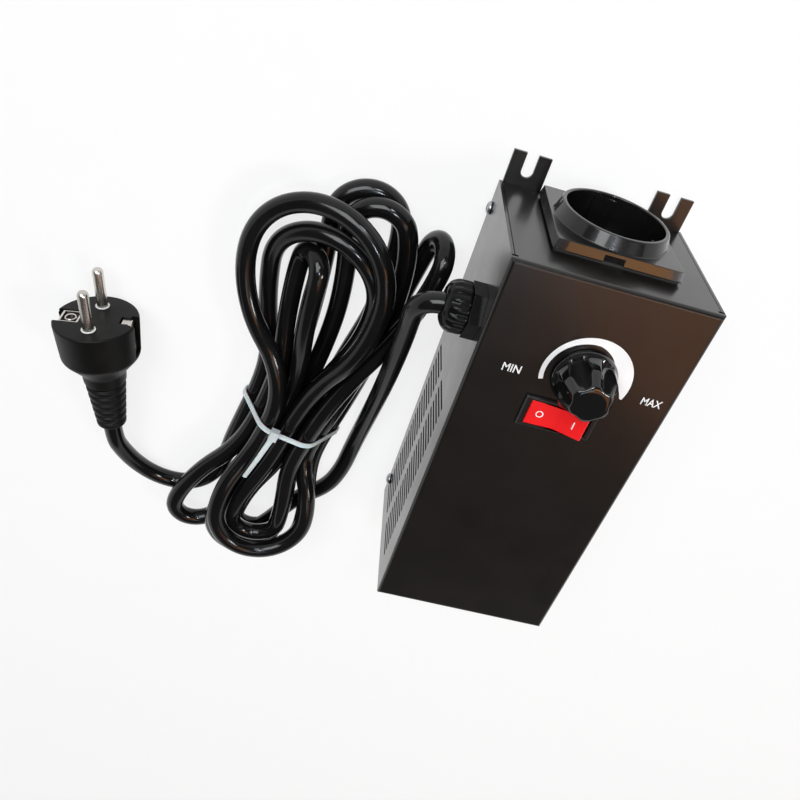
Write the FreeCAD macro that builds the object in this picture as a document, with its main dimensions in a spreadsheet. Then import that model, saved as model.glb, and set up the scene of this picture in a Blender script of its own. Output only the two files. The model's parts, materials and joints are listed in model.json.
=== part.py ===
# A plug-in light dimmer: a folded sheet metal case with an earthed outlet on its top end,
# a turning knob and a rocker switch on its front, a cable gland on its left side, and a
# tied-up mains lead with an earthed plug. It lies on its back: +Z out of the front panel,
# +Y towards the outlet end, +X to the right. The origin is the middle of the back plate's
# outer face. Millimetres and degrees.
import FreeCAD, Part
import math
import os
from types import SimpleNamespace

import Sketcher

Vector = FreeCAD.Vector
Rotation = FreeCAD.Rotation
Placement = FreeCAD.Placement

doc = FreeCAD.newDocument("light_dimmer")
sheet = doc.addObject("Spreadsheet::Sheet", "Dims")

SIZES = [
    ("case_width", 80, "outside width of the case"),
    ("case_length", 178, "outside length of the case, outlet end to foot"),
    ("case_depth", 70, "front panel's outer face above the back face"),
    ("skin", 1.2, "sheet thickness of the cover"),
    ("bend", 1.6, "outer radius of the cover's front bends"),
    ("seam", 0.3, "slit between the end flaps and the sides"),
    ("relief", 1.2, "half width of the relief notch at each bend corner"),
    ("plate", 1.5, "sheet thickness of the back plate"),
    ("fit_gap", 0.1, "clearance between nested sheets"),
    ("lug_width", 16, "width of a mounting lug"),
    ("lug_reach", 14, "how far a lug stands out of the case's end"),
    ("lug_slot", 5, "width of a lug's open slot"),
    ("lug_slot_depth", 10, "depth of a lug's open slot, to its round bottom"),
    ("tab_width", 14, "width of a screw tab on the back plate"),
    ("tab_height", 9, "height of a screw tab"),
    ("cover_screw_z", 4, "cover screws above the back face"),
    ("cover_screw_top", 78, "upper cover screws from the middle"),
    ("cover_screw_foot", 77, "lower cover screws from the middle"),
    ("cover_screw_r", 1.45, "radius of a cover screw's shank"),
    ("cover_screw_head", 2.8, "radius of a cover screw's head"),
    ("screw_play", 0.1, "radial play of a shank in its hole"),
    ("vent_rows", 25, "slots in a vent column"),
    ("vent_pitch", 3.7, "distance between vent slots"),
    ("vent_gap", 1.8, "height of a vent slot"),
    ("vent_first", -79.5, "lowest vent slot from the middle"),
    ("vent_back_z", 6.5, "near end of the back vent column"),
    ("vent_front_z", 34.5, "near end of the front vent column"),
    ("vent_length", 20.8, "length of a vent slot"),
    ("outlet_x", 1, "outlet's axis from the middle"),
    ("outlet_z", 29.7, "outlet's axis above the back face"),
    ("gasket_height", 1, "thickness of the outlet's gasket"),
    ("flange_margin", 3.45, "square flange beyond the barrel on each side"),
    ("flange_height", 4, "thickness of the outlet's flange"),
    ("flange_bevel", 1, "bevel along the flange's outer edges"),
    ("collar_height", 5.2, "collar above the flange"),
    ("collar_wall", 1.6, "collar's wall at its rim"),
    ("collar_flare", 2, "how much wider the collar is at its foot"),
    ("gasket_margin", 2.45, "square gasket beyond the barrel on each side"),
    ("recess_r", 19.75, "radius of the outlet's recess"),
    ("recess_depth", 17.5, "depth of the outlet's recess"),
    ("barrel_wall", 1.8, "wall of the outlet's barrel below the flange"),
    ("insert_height", 6, "thickness of the outlet's insert disc"),
    ("insert_core_side", 26, "side of the insert's square core"),
    ("insert_core_height", 15.5, "height of the insert's core"),
    ("contact_length", 18, "length of a contact sleeve"),
    ("pin_spacing", 19, "distance between the two contacts"),
    ("pin_hole_r", 2.6, "radius of an outlet pin hole"),
    ("contact_wall", 0.7, "wall of a contact sleeve"),
    ("clip_width", 4.5, "width of an outlet earth clip"),
    ("clip_gauge", 0.7, "thickness of an outlet earth clip"),
    ("knob_x", 2.3, "knob's axis from the middle"),
    ("knob_y", 50.8, "knob's axis towards the outlet"),
    ("knob_gap", 0.6, "knob's skirt above the panel"),
    ("skirt_r", 12.4, "radius of the knob's skirt"),
    ("skirt_height", 1.6, "height of the knob's skirt"),
    ("grip_r", 11.2, "radius over the grip's ridges"),
    ("grip_shoulder", 9.8, "height where the grip's shoulder begins"),
    ("knob_height", 16.9, "height of the knob"),
    ("crown_r", 7.3, "radius of the knob's flat crown"),
    ("flutes", 6, "hollows round the grip"),
    ("flute_centre", 13.9, "hollow cutter's distance from the axis at the skirt"),
    ("flute_r", 5.2, "radius of the hollow cutter"),
    ("flute_lean", 8, "lean of the hollow cutter towards the axis"),
    ("shaft_r", 3, "radius of the control's shaft"),
    ("shaft_play", 0.08, "radial play round the shaft"),
    ("bushing_r", 3.5, "radius of the control's threaded bushing"),
    ("bushing_height", 3.6, "bushing above the panel"),
    ("control_side", 16.5, "side of the control's square can"),
    ("control_height", 9, "height of the control's can"),
    ("nut_flats", 10, "bushing nut across its flats"),
    ("nut_height", 2, "thickness of the bushing nut"),
    ("washer_r", 6, "radius of the bushing washer"),
    ("washer_height", 0.5, "thickness of the bushing washer"),
    ("switch_y", 31, "switch's middle towards the outlet"),
    ("bezel_length", 30, "length of the switch's bezel"),
    ("bezel_width", 14.2, "width of the switch's bezel"),
    ("bezel_height", 1.6, "bezel above the panel"),
    ("switch_wall", 0.95, "wall of the switch's body"),
    ("switch_depth", 18, "switch's body below the panel"),
    ("well_half", 12.75, "half the length of the rocker's well"),
    ("well_depth", 12, "floor of the rocker's well below the panel"),
    ("rocker_width", 10.7, "width of the rocker"),
    ("rocker_half", 11.6, "half the length of the rocker's top"),
    ("rocker_end", 5.9, "height of the rocker's ends over its pivot"),
    ("rocker_middle", 4, "height of the rocker's middle over its pivot"),
    ("rocker_tilt", 9, "tilt of the rocker to each side"),
    ("rocker_play", 0.2, "gap beside the rocker"),
    ("pivot_depth", 2.5, "rocker's pivot below the panel"),
    ("pivot_r", 1.2, "radius of the rocker's pivots"),
    ("blade_width", 4.8, "width of a push-on terminal"),
    ("blade_gauge", 0.8, "thickness of a push-on terminal"),
    ("blade_length", 8, "length of a push-on terminal"),
    ("gland_y", 57.3, "gland's axis towards the outlet"),
    ("gland_drop", 16, "gland's axis below the front panel's face"),
    ("gland_flats", 19, "gland's hexagon across its flats"),
    ("gland_collar", 5, "thickness of the gland's hexagon"),
    ("gland_thread_r", 9.2, "radius of the gland's thread"),
    ("gland_dome_r", 10.3, "radius of the gland's domed nut"),
    ("gland_dome_length", 9.5, "length of the gland's domed nut"),
    ("gland_mouth_r", 4.75, "radius of the gland's mouth"),
    ("locknut_flats", 22, "gland's lock nut across its flats"),
    ("locknut_height", 4.5, "thickness of the gland's lock nut"),
    ("cord_r", 4.25, "radius of the mains lead"),
    ("board_width", 60, "width of the circuit board"),
    ("board_length", 96, "length of the circuit board"),
    ("board_height", 1.6, "thickness of the circuit board"),
    ("board_y", -24, "middle of the circuit board"),
    ("standoff", 7.5, "height of a board standoff"),
    ("standoff_r", 3, "radius of a board standoff"),
    ("film_inset", 2, "film capacitor from the board's left edge"),
    ("film_width", 8, "width of the film capacitor"),
    ("film_length", 20, "length of the film capacitor"),
    ("film_height", 15, "height of the film capacitor"),
    ("film_back", 13, "capacitors from the board's outlet end"),
    ("timing_width", 5, "width of the timing capacitor"),
    ("timing_length", 12, "length of the timing capacitor"),
    ("timing_height", 9, "height of the timing capacitor"),
    ("terminal_ways", 5, "ways of the terminal block"),
    ("terminal_pitch", 7, "distance between two ways"),
    ("terminal_slot", 1.8, "half width of a wire slot"),
    ("terminal_depth", 10, "depth of the terminal block"),
    ("terminal_height", 12, "height of the terminal block"),
    ("board_hole_inset", 5, "board holes from the board's edges"),
    ("sink_width", 44, "width of the heat sink"),
    ("sink_length", 40, "length of the heat sink"),
    ("sink_height", 30, "height of the heat sink"),
    ("sink_wall", 2, "thickness of the heat sink's fins"),
    ("sink_fins", 6, "fins of the heat sink"),
    ("sink_y", -36, "middle of the heat sink"),
    ("choke_r", 9, "choke's ring radius"),
    ("choke_wire_r", 4.5, "choke's winding radius"),
    ("choke_inset", 14.5, "choke's axis from the board's right edge"),
    ("choke_back", 19, "choke's axis from the board's outlet end"),
    ("fuse_inset", 23, "fuse's axis from the board's left edge"),
    ("fuse_back", 22, "fuse's middle from the board's outlet end"),
    ("fuse_r", 2.6, "radius of the fuse"),
    ("fuse_length", 20, "length of the fuse"),
    ("fuse_lift", 5, "fuse's axis above the board"),
    ("plug_x", -189.4, "plug's face from the middle"),
    ("plug_y", -12.6, "plug's face towards the outlet"),
    ("plug_z", 19.2, "plug's face above the floor"),
    ("plug_turn", 10.2, "plug's turn to the left"),
    ("plug_lift", 2.2, "plug's pins point up by this angle"),
    ("plug_r", 18.3, "radius of the plug's body"),
    ("plug_grip", 18, "length of the plug's full width"),
    ("plug_taper", 14, "length of the plug's taper"),
    ("plug_neck_r", 9, "radius where the strain relief starts"),
    ("boot_length", 27, "length of the strain relief"),
    ("boot_end_r", 6.9, "radius of the strain relief's last ring"),
    ("boot_ribs", 3, "rings on the strain relief"),
    ("plug_pin_r", 2.4, "radius of a plug pin"),
    ("plug_pin_length", 19, "length of a plug pin"),
    ("plug_root_r", 2, "radius of a pin's root inside the plug"),
    ("plug_root_length", 12, "length of a pin's root inside the plug"),
    ("plug_ring_r", 3.9, "radius of the ring round a pin's foot"),
    ("plug_ring_height", 0.8, "height of the ring round a pin's foot"),
]


class Size:
    """A number together with the sheet formula that gives it."""

    def __init__(self, value, text):
        self.value = float(value)
        self.text = text

    def __add__(self, other):
        other = as_size(other)
        return Size(self.value + other.value, f"({self.text} + {other.text})")

    def __radd__(self, other):
        return as_size(other) + self

    def __sub__(self, other):
        other = as_size(other)
        return Size(self.value - other.value, f"({self.text} - {other.text})")

    def __rsub__(self, other):
        return as_size(other) - self

    def __mul__(self, other):
        other = as_size(other)
        return Size(self.value * other.value, f"({self.text} * {other.text})")

    def __rmul__(self, other):
        return as_size(other) * self

    def __truediv__(self, other):
        other = as_size(other)
        return Size(self.value / other.value, f"({self.text} / {other.text})")

    def __neg__(self):
        return Size(-self.value, f"(0 - {self.text})")


def as_size(thing):
    if isinstance(thing, Size):
        return thing
    return Size(thing, f"({float(thing):g})")


def write_sizes():
    sizes = {}
    for row, (name, value, note) in enumerate(SIZES, 1):
        sheet.set(f"A{row}", note)
        sheet.set(f"B{row}", str(value))
        sheet.setAlias(f"B{row}", name)
        sizes[name] = Size(value, f"Dims.{name}")
    doc.recompute()
    return SimpleNamespace(**sizes)


dim = write_sizes()
PARTS = []


def bind(thing, path, size):
    thing.setExpression(path, as_size(size).text)


def place(thing, x, y, z, turn=None):
    x, y, z = as_size(x), as_size(y), as_size(z)
    thing.Placement = Placement(Vector(x.value, y.value, z.value), turn or Rotation())
    for axis, size in zip("xyz", (x, y, z)):
        bind(thing, f"Placement.Base.{axis}", size)
    return thing


def block(x, y, z):
    """A box between two bounds on each axis."""
    box = doc.addObject("Part::Box", "block")
    for path, (low, high) in zip(("Length", "Width", "Height"), (x, y, z)):
        bind(box, path, as_size(high) - low)
    return place(box, x[0], y[0], z[0])


TURNS = {
    "+x": Rotation(Vector(0, 1, 0), 90),
    "-x": Rotation(Vector(0, 1, 0), -90),
    "+y": Rotation(Vector(1, 0, 0), -90),
    "-y": Rotation(Vector(1, 0, 0), 90),
    "+z": Rotation(),
    "-z": Rotation(Vector(1, 0, 0), 180),
}


def rod(axis, at, radius, length):
    cylinder = doc.addObject("Part::Cylinder", "rod")
    bind(cylinder, "Radius", radius)
    bind(cylinder, "Height", length)
    return place(cylinder, *at, TURNS[axis])


def cone(axis, at, foot_r, top_r, length):
    taper = doc.addObject("Part::Cone", "cone")
    bind(taper, "Radius1", foot_r)
    bind(taper, "Radius2", top_r)
    bind(taper, "Height", length)
    return place(taper, *at, TURNS[axis])


def prism(axis, at, sides, radius, length):
    """A regular prism with so many sides, radius over its corners."""
    solid = doc.addObject("Part::Prism", "prism")
    solid.Polygon = sides
    bind(solid, "Circumradius", radius)
    bind(solid, "Height", length)
    return place(solid, *at, TURNS[axis])


def hexagon(axis, at, flats, length):
    return prism(axis, at, 6, flats / math.sqrt(3), length)


def square(at, side, y, length):
    """A square bar along +Y round the point at of the XZ plane."""
    half = side / 2
    return block((at[0] - half, at[0] + half), (y, y + length), (at[1] - half, at[1] + half))


def frustum(axis, at, sides, foot_r, top_r, length):
    """A tapered regular prism, lofted between its two ends."""
    ends = []
    for offset, radius in ((0, foot_r), (length, top_r)):
        end = doc.addObject("Part::RegularPolygon", "end")
        end.Polygon = sides
        bind(end, "Circumradius", radius)
        place(end, 0, 0, offset)
        ends.append(end)
    loft = doc.addObject("Part::Loft", "frustum")
    loft.Sections = ends
    loft.Solid = True
    loft.Ruled = True
    return place(loft, *at, TURNS[axis])


def fuse(*shapes):
    joined = doc.addObject("Part::MultiFuse", "fuse")
    joined.Shapes = list(shapes)
    joined.Refine = True
    return joined


def group(*shapes):
    together = doc.addObject("Part::Compound", "group")
    together.Links = list(shapes)
    return together


def cut(base, *tools):
    less = doc.addObject("Part::Cut", "cut")
    less.Base = base
    less.Tool = tools[0] if len(tools) == 1 else fuse(*tools)
    less.Refine = True
    return less


def soften(base, radius, wanted):
    """Round the edges of base that the function wanted picks by their middle."""
    doc.recompute()
    round_off = doc.addObject("Part::Fillet", "soften")
    round_off.Base = base
    edges = []
    for number, edge in enumerate(base.Shape.Edges, 1):
        middle = edge.valueAt((edge.FirstParameter + edge.LastParameter) / 2)
        if wanted(edge, middle):
            edges.append((number, as_size(radius).value, as_size(radius).value))
    round_off.Edges = edges
    return round_off


def bevel(base, width, wanted):
    """Cut off the edges of base that the function wanted picks by their middle."""
    doc.recompute()
    chamfer = doc.addObject("Part::Chamfer", "bevel")
    chamfer.Base = base
    edges = []
    for number, edge in enumerate(base.Shape.Edges, 1):
        middle = edge.valueAt((edge.FirstParameter + edge.LastParameter) / 2)
        if wanted(edge, middle):
            edges.append((number, as_size(width).value, as_size(width).value))
    chamfer.Edges = edges
    return chamfer


def outline(points, turn=None, at=(0, 0, 0)):
    """A closed sketch of straight lines through points, each tied to its two sizes."""
    sketch = doc.addObject("Sketcher::SketchObject", "outline")
    points = [(as_size(a), as_size(b)) for a, b in points]
    count = len(points)
    for index in range(count):
        (ax, ay), (bx, by) = points[index], points[(index + 1) % count]
        line = Part.LineSegment(Vector(ax.value, ay.value, 0), Vector(bx.value, by.value, 0))
        sketch.addGeometry(line)
    for index in range(count):
        sketch.addConstraint(Sketcher.Constraint("Coincident", index, 2, (index + 1) % count, 1))
    for index, point in enumerate(points):
        for kind, size, axis in zip(("DistanceX", "DistanceY"), point, (-2, -1)):
            if abs(size.value) < 1e-9:
                sketch.addConstraint(Sketcher.Constraint("PointOnObject", index, 1, axis))
                continue
            tie = sketch.addConstraint(Sketcher.Constraint(kind, -1, 1, index, 1, size.value))
            sketch.setExpression(f"Constraints[{tie}]", size.text)
    place(sketch, *at, turn)
    return sketch


def extrude(sketch, direction, length):
    solid = doc.addObject("Part::Extrusion", "extrude")
    solid.Base = sketch
    solid.DirMode = "Custom"
    solid.Dir = direction
    solid.Solid = True
    bind(solid, "LengthFwd", length)
    return solid


def revolve(sketch, base, axis):
    solid = doc.addObject("Part::Revolution", "revolve")
    solid.Source = sketch
    solid.Base = base
    solid.Axis = axis
    solid.Angle = 360
    solid.Solid = True
    return solid


def part(name, solid, stand=None):
    """Name a finished sub-part and put it where it stands."""
    solid.Label = name
    if stand is not None:
        solid.Placement = stand
    PARTS.append((name, solid))
    return solid


half_width = dim.case_width / 2
half_length = dim.case_length / 2
inside = half_width - dim.skin - dim.fit_gap
ON_XZ = Rotation(Vector(1, 0, 0), 90)


# Back plate: flat sheet with two forked lugs at the top end and four bent screw tabs.
def make_back_plate():
    pieces = [block((-inside, inside), (-half_length, half_length), (0, dim.plate))]
    cuts = []
    for side in (-1, 1):
        middle = side * (inside - dim.lug_width / 2)
        pieces.append(block((middle - dim.lug_width / 2, middle + dim.lug_width / 2),
                            (half_length - 1, half_length + dim.lug_reach), (0, dim.plate)))
        foot = half_length + dim.lug_reach - dim.lug_slot_depth + dim.lug_slot / 2
        cuts.append(rod("+z", (middle, foot, -1), dim.lug_slot / 2, dim.plate + 2))
        cuts.append(block((middle - dim.lug_slot / 2, middle + dim.lug_slot / 2),
                          (foot, half_length + dim.lug_reach + 1), (-1, dim.plate + 1)))
        for y in (dim.cover_screw_top, -dim.cover_screw_foot):
            outer, inner = side * inside, side * (inside - dim.plate)
            low, high = (outer, inner) if side < 0 else (inner, outer)
            pieces.append(block((low, high), (y - dim.tab_width / 2, y + dim.tab_width / 2),
                                (0, dim.tab_height)))
            cuts.append(rod("+x", (low - 1, y, dim.cover_screw_z),
                            dim.cover_screw_r + dim.screw_play, dim.plate + 2))
    return part("back_plate", cut(fuse(*pieces), *cuts))


# Front cover: one folded sheet, front, two long sides and two end flaps.
def make_front_cover():
    shell = block((-half_width, half_width), (-half_length, half_length), (0, dim.case_depth))
    top = dim.case_depth.value
    shell = soften(shell, dim.bend, lambda edge, middle: abs(middle.z - top) < 1e-6)
    cuts = [block((-half_width + dim.skin, half_width - dim.skin),
                  (-half_length + dim.skin, half_length - dim.skin),
                  (-1, dim.case_depth - dim.skin))]
    flap_end = dim.plate + dim.fit_gap
    cuts.append(block((-inside - dim.fit_gap, inside + dim.fit_gap),
                      (-half_length - 1, half_length + 1), (-1, flap_end)))
    bend_z = dim.case_depth - dim.skin - dim.relief
    for side in (-1, 1):
        seam_x = side * (half_width - dim.skin - dim.seam / 2)
        for end in (-1, 1):
            low, high = end * (half_length + 1), end * (half_length - 2 * dim.skin)
            low, high = (low, high) if end < 0 else (high, low)
            cuts.append(block((seam_x - dim.seam / 2, seam_x + dim.seam / 2), (low, high),
                              (-1, bend_z)))
            cuts.append(block((seam_x - dim.relief, seam_x + dim.relief), (low, high),
                              (bend_z - dim.relief, bend_z)))
        for y in (dim.cover_screw_top, -dim.cover_screw_foot):
            cuts.append(rod("+x", (side * half_width - dim.skin - 1, y, dim.cover_screw_z),
                            dim.cover_screw_r + 2 * dim.screw_play, 2 * dim.skin + 2))
    for column in (dim.vent_back_z, dim.vent_front_z):
        for row in range(int(dim.vent_rows.value)):
            y = dim.vent_first + row * dim.vent_pitch
            cuts.append(block((-half_width - 1, half_width + 1), (y, y + dim.vent_gap),
                              (column, column + dim.vent_length)))
    front = dim.case_depth - 2 * dim.skin
    cuts.append(rod("+z", (dim.knob_x, dim.knob_y, front), dim.bushing_r + dim.fit_gap,
                    3 * dim.skin))
    body_x = dim.well_half + dim.switch_wall + 2 * dim.fit_gap
    body_y = dim.rocker_width / 2 + dim.rocker_play + dim.switch_wall + 2 * dim.fit_gap
    cuts.append(block((-body_x, body_x), (dim.switch_y - body_y, dim.switch_y + body_y),
                      (front, dim.case_depth + 1)))
    cuts.append(square((dim.outlet_x, dim.outlet_z),
                       2 * (dim.recess_r + dim.barrel_wall + 4 * dim.fit_gap),
                       half_length - 2 * dim.skin, 3 * dim.skin))
    cuts.append(rod("+x", (-half_width - 1, dim.gland_y, dim.case_depth - dim.gland_drop),
                    dim.gland_thread_r + 2 * dim.fit_gap, 3 * dim.skin))
    return part("front_cover", cut(shell, *cuts))


# Cover screws: four pan heads, driven into the plate's tabs.
def make_cover_screws():
    screws = []
    head = 1.9
    for side in (-1, 1):
        for y in (dim.cover_screw_top, -dim.cover_screw_foot):
            out = "+x" if side > 0 else "-x"
            face = side * half_width
            shank = hexagon(out, (face - side * 6, y, dim.cover_screw_z),
                            2 * dim.cover_screw_r - 0.4, 6)
            pan = prism(out, (face, y, dim.cover_screw_z), 16, dim.cover_screw_head, head)
            screws.append(fuse(shank, pan))
    return part("cover_screws", group(*screws))


# Outlet: gasket, moulded housing with its collar, insert, contact sleeves, earth clips.
outlet_foot = half_length + dim.gasket_height
flange_top = outlet_foot + dim.flange_height
rim_y = flange_top + dim.collar_height
floor_y = rim_y - dim.recess_depth
barrel_r = dim.recess_r + dim.barrel_wall
flange_half = barrel_r + dim.flange_margin


def around_outlet(half):
    return ((dim.outlet_x - half, dim.outlet_x + half), (dim.outlet_z - half, dim.outlet_z + half))


def make_outlet_gasket():
    wide, tall = around_outlet(barrel_r + dim.gasket_margin)
    frame = block(wide, (half_length, outlet_foot), tall)
    hole = square((dim.outlet_x, dim.outlet_z), 2 * (barrel_r + 4 * dim.fit_gap),
                  half_length - 1, dim.gasket_height + 2)
    return part("outlet_gasket", cut(frame, hole))


def make_outlet_housing():
    wide, tall = around_outlet(flange_half)
    centre = (dim.outlet_x, dim.outlet_z)
    flange = block(wide, (outlet_foot, flange_top), tall)

    top = flange_top.value
    flange = bevel(flange, dim.flange_bevel, lambda edge, middle: abs(middle.y - top) < 1e-6)
    rim_r = dim.recess_r + dim.collar_wall
    collar = cone("+y", (centre[0], flange_top, centre[1]), rim_r + dim.collar_flare, rim_r,
                  dim.collar_height)
    barrel_foot = floor_y - dim.insert_height - dim.barrel_wall
    barrel = rod("+y", (centre[0], barrel_foot, centre[1]), barrel_r, flange_top - barrel_foot)
    hooks = []
    hook_reach = 2
    for side in (-1, 1):
        inner = centre[0] + side * (barrel_r - 1)
        outer = centre[0] + side * (barrel_r + hook_reach)
        low, high = (outer, inner) if side < 0 else (inner, outer)
        hooks.append(block((low, high), (half_length - dim.skin - 5, half_length - dim.skin - 0.3),
                           (centre[1] - 4, centre[1] + 4)))
    solid = fuse(flange, collar, barrel, *hooks)
    seat = floor_y - dim.insert_height - dim.fit_gap
    bore = rod("+y", (centre[0], seat, centre[1]), dim.recess_r, rim_y - seat + 1)
    throat = rod("+y", (centre[0], barrel_foot - 1, centre[1]), dim.recess_r - 1.5,
                 seat - barrel_foot + 2)
    notches = []
    notch, notch_depth = 4, 2
    for side in (-1, 1):
        edge = centre[1] + side * flange_half
        low, high = edge - notch_depth, edge + notch_depth
        notches.append(block((centre[0] - 2 - notch, centre[0] - 2 + notch),
                             (outlet_foot - 1, outlet_foot + dim.flange_height / 2), (low, high)))
    hollow = cut(solid, bore, throat, *notches)
    ribs = []
    rib_half, rib_proud = 4.5, 1.2
    for side in (-1, 1):
        inner = centre[1] + side * (dim.recess_r - rib_proud)
        outer = centre[1] + side * (dim.recess_r + 0.4)
        low, high = (outer, inner) if side < 0 else (inner, outer)
        ribs.append(block((centre[0] - rib_half, centre[0] + rib_half),
                          (floor_y + 0.1, rim_y - 2), (low, high)))
    return part("outlet_housing", fuse(hollow, *ribs))


contact_r = dim.pin_hole_r + dim.contact_wall
contact_top = floor_y - 2.6
contact_foot = contact_top - dim.contact_length
PIN_SIDES = (-1, 1)


def make_outlet_insert():
    centre = (dim.outlet_x, dim.outlet_z)
    disc = rod("+y", (centre[0], floor_y - dim.insert_height, centre[1]),
               dim.recess_r - dim.fit_gap, dim.insert_height)
    core_foot = floor_y - dim.insert_height - dim.insert_core_height
    wide, tall = around_outlet(dim.insert_core_side / 2)
    core = block(wide, (core_foot, core_foot + dim.insert_core_height), tall)
    cuts = []
    for side in PIN_SIDES:
        z = centre[1] + side * dim.pin_spacing / 2
        cuts.append(rod("+y", (centre[0], contact_top - 1, z), dim.pin_hole_r,
                        floor_y - contact_top + 2))
        cuts.append(square((centre[0], z), 2 * contact_r + 0.1, core_foot - 1,
                           contact_top - core_foot + 1.1))
        outer = centre[0] + side * (dim.recess_r + 1)
        inner = centre[0] + side * (dim.recess_r - dim.clip_gauge - 0.7)
        low, high = (outer, inner) if side < 0 else (inner, outer)
        cuts.append(block((low, high), (floor_y - dim.insert_height - 1, floor_y + 1),
                          (centre[1] - dim.clip_width / 2 - 0.1,
                           centre[1] + dim.clip_width / 2 + 0.1)))
    return part("outlet_insert", cut(fuse(disc, core), *cuts))


def make_outlet_contacts():
    sleeves = []
    for side in PIN_SIDES:
        z = dim.outlet_z + side * dim.pin_spacing / 2
        sleeve = square((dim.outlet_x, z), 2 * contact_r, contact_foot,
                        contact_top - contact_foot)
        bore = rod("+y", (dim.outlet_x, contact_foot + 0.8, z), dim.pin_hole_r,
                   contact_top - contact_foot + 1)
        tag = block((dim.outlet_x - 2.4, dim.outlet_x + 2.4), (contact_foot - 9, contact_foot + 0.4),
                    (z - 0.4, z + 0.4))
        sleeves.append(cut(fuse(sleeve, tag), bore))
    return part("outlet_contacts", group(*sleeves))


def make_outlet_earth_clips():
    clips = []
    gauge = dim.clip_gauge
    for side in (-1, 1):
        back = dim.recess_r - 0.4
        foot = floor_y - dim.insert_height + 0.6
        shape = [(back, foot), (back, floor_y + 1.5), (back - 1.9, floor_y + 6.5),
                 (back - 0.6, floor_y + 11), (back - 0.6 - gauge, floor_y + 11),
                 (back - 1.9 - gauge, floor_y + 6.5), (back - gauge, floor_y + 1.3),
                 (back - gauge, foot)]
        shape = [(dim.outlet_x + side * a, b) for a, b in shape]
        strip = outline(shape, at=(0, 0, dim.outlet_z - dim.clip_width / 2))
        clips.append(extrude(strip, Vector(0, 0, 1), dim.clip_width))
    return part("outlet_earth_clips", group(*clips))


# Knob: a turned moulding with a thin skirt, hollows round its grip and a flat crown.
knob_foot = dim.case_depth + dim.knob_gap
recess_top = dim.bushing_height - dim.knob_gap + 0.4


def make_knob():
    bore = dim.shaft_r + dim.shaft_play / 2
    nut_room = dim.washer_r + 0.6
    profile = [(bore, recess_top), (nut_room, recess_top), (nut_room, 0), (dim.skirt_r, 0),
               (dim.skirt_r, dim.skirt_height), (dim.grip_r, dim.skirt_height),
               (dim.grip_r, dim.grip_shoulder),
               (dim.crown_r, dim.knob_height), (0, dim.knob_height), (0, dim.knob_height - 4),
               (bore, dim.knob_height - 4)]
    turned = revolve(outline(profile, ON_XZ), Vector(0, 0, 0), Vector(0, 0, 1))
    hollows = []
    count = int(dim.flutes.value)
    for number in range(count):
        angle = 66.6 + 360 * number / count
        x = dim.flute_centre * math.cos(math.radians(angle))
        y = dim.flute_centre * math.sin(math.radians(angle))
        hollow = rod("+z", (x, y, dim.skirt_height), dim.flute_r, dim.knob_height + 2)
        lean = Rotation(Vector(0, 1, 0), -dim.flute_lean.value)
        hollow.Placement.Rotation = Rotation(Vector(0, 0, 1), angle).multiply(lean)
        hollows.append(cut(hollow, block((-30, 30), (-30, 30), (-30, dim.skirt_height))))
    knob = cut(turned, *hollows)
    return part("knob", place(knob, dim.knob_x, dim.knob_y, knob_foot))


# Control: can with threaded bushing, turning shaft and rotor, nut and washer.
panel_inside = dim.case_depth - dim.skin
can_foot = panel_inside - dim.control_height


def make_control_body():
    at = (dim.knob_x, dim.knob_y)
    half = dim.control_side / 2
    can = block((dim.knob_x - half, dim.knob_x + half), (dim.knob_y - half, dim.knob_y + half),
                (can_foot, panel_inside))
    bushing = rod("+z", (*at, panel_inside - 0.5), dim.bushing_r,
                  dim.skin + dim.bushing_height + 0.5)
    legs = []
    for step in (-1, 0, 1):
        x = dim.knob_x + 5 * step
        legs.append(block((x - 0.9, x + 0.9), (dim.knob_y - half - 3, dim.knob_y - half + 1),
                          (can_foot + 1.5, can_foot + 2.1)))
    bore = rod("+z", (*at, can_foot + 1), dim.shaft_r + dim.shaft_play, 30)
    return part("control_body", cut(fuse(can, bushing, *legs), bore))


def make_control_shaft():
    at = (dim.knob_x, dim.knob_y)
    top = knob_foot + dim.knob_height - 4.1
    foot = can_foot + 1.1
    return part("control_shaft", rod("+z", (*at, foot), dim.shaft_r, top - foot))


def make_control_washer():
    at = (dim.knob_x, dim.knob_y)
    ring = prism("+z", (*at, dim.case_depth), 12, dim.washer_r, dim.washer_height)
    hole = prism("+z", (*at, dim.case_depth - 1), 12, dim.bushing_r + 0.25, dim.washer_height + 2)
    return part("control_washer", cut(ring, hole))


def make_control_nut():
    at = (dim.knob_x, dim.knob_y)
    foot = dim.case_depth + dim.washer_height
    ring = hexagon("+z", (*at, foot), dim.nut_flats, dim.nut_height)
    hole = rod("+z", (*at, foot - 1), dim.bushing_r + 0.05, dim.nut_height + 2)
    return part("control_nut", cut(ring, hole))


# Rocker switch: bezelled body snapped into the panel, rocker on two pivots, four blades.
pivot_z = dim.case_depth - dim.pivot_depth
well_y = dim.rocker_width / 2 + dim.rocker_play
body_half_y = well_y + dim.switch_wall
body_half_x = dim.well_half + dim.switch_wall


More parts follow.
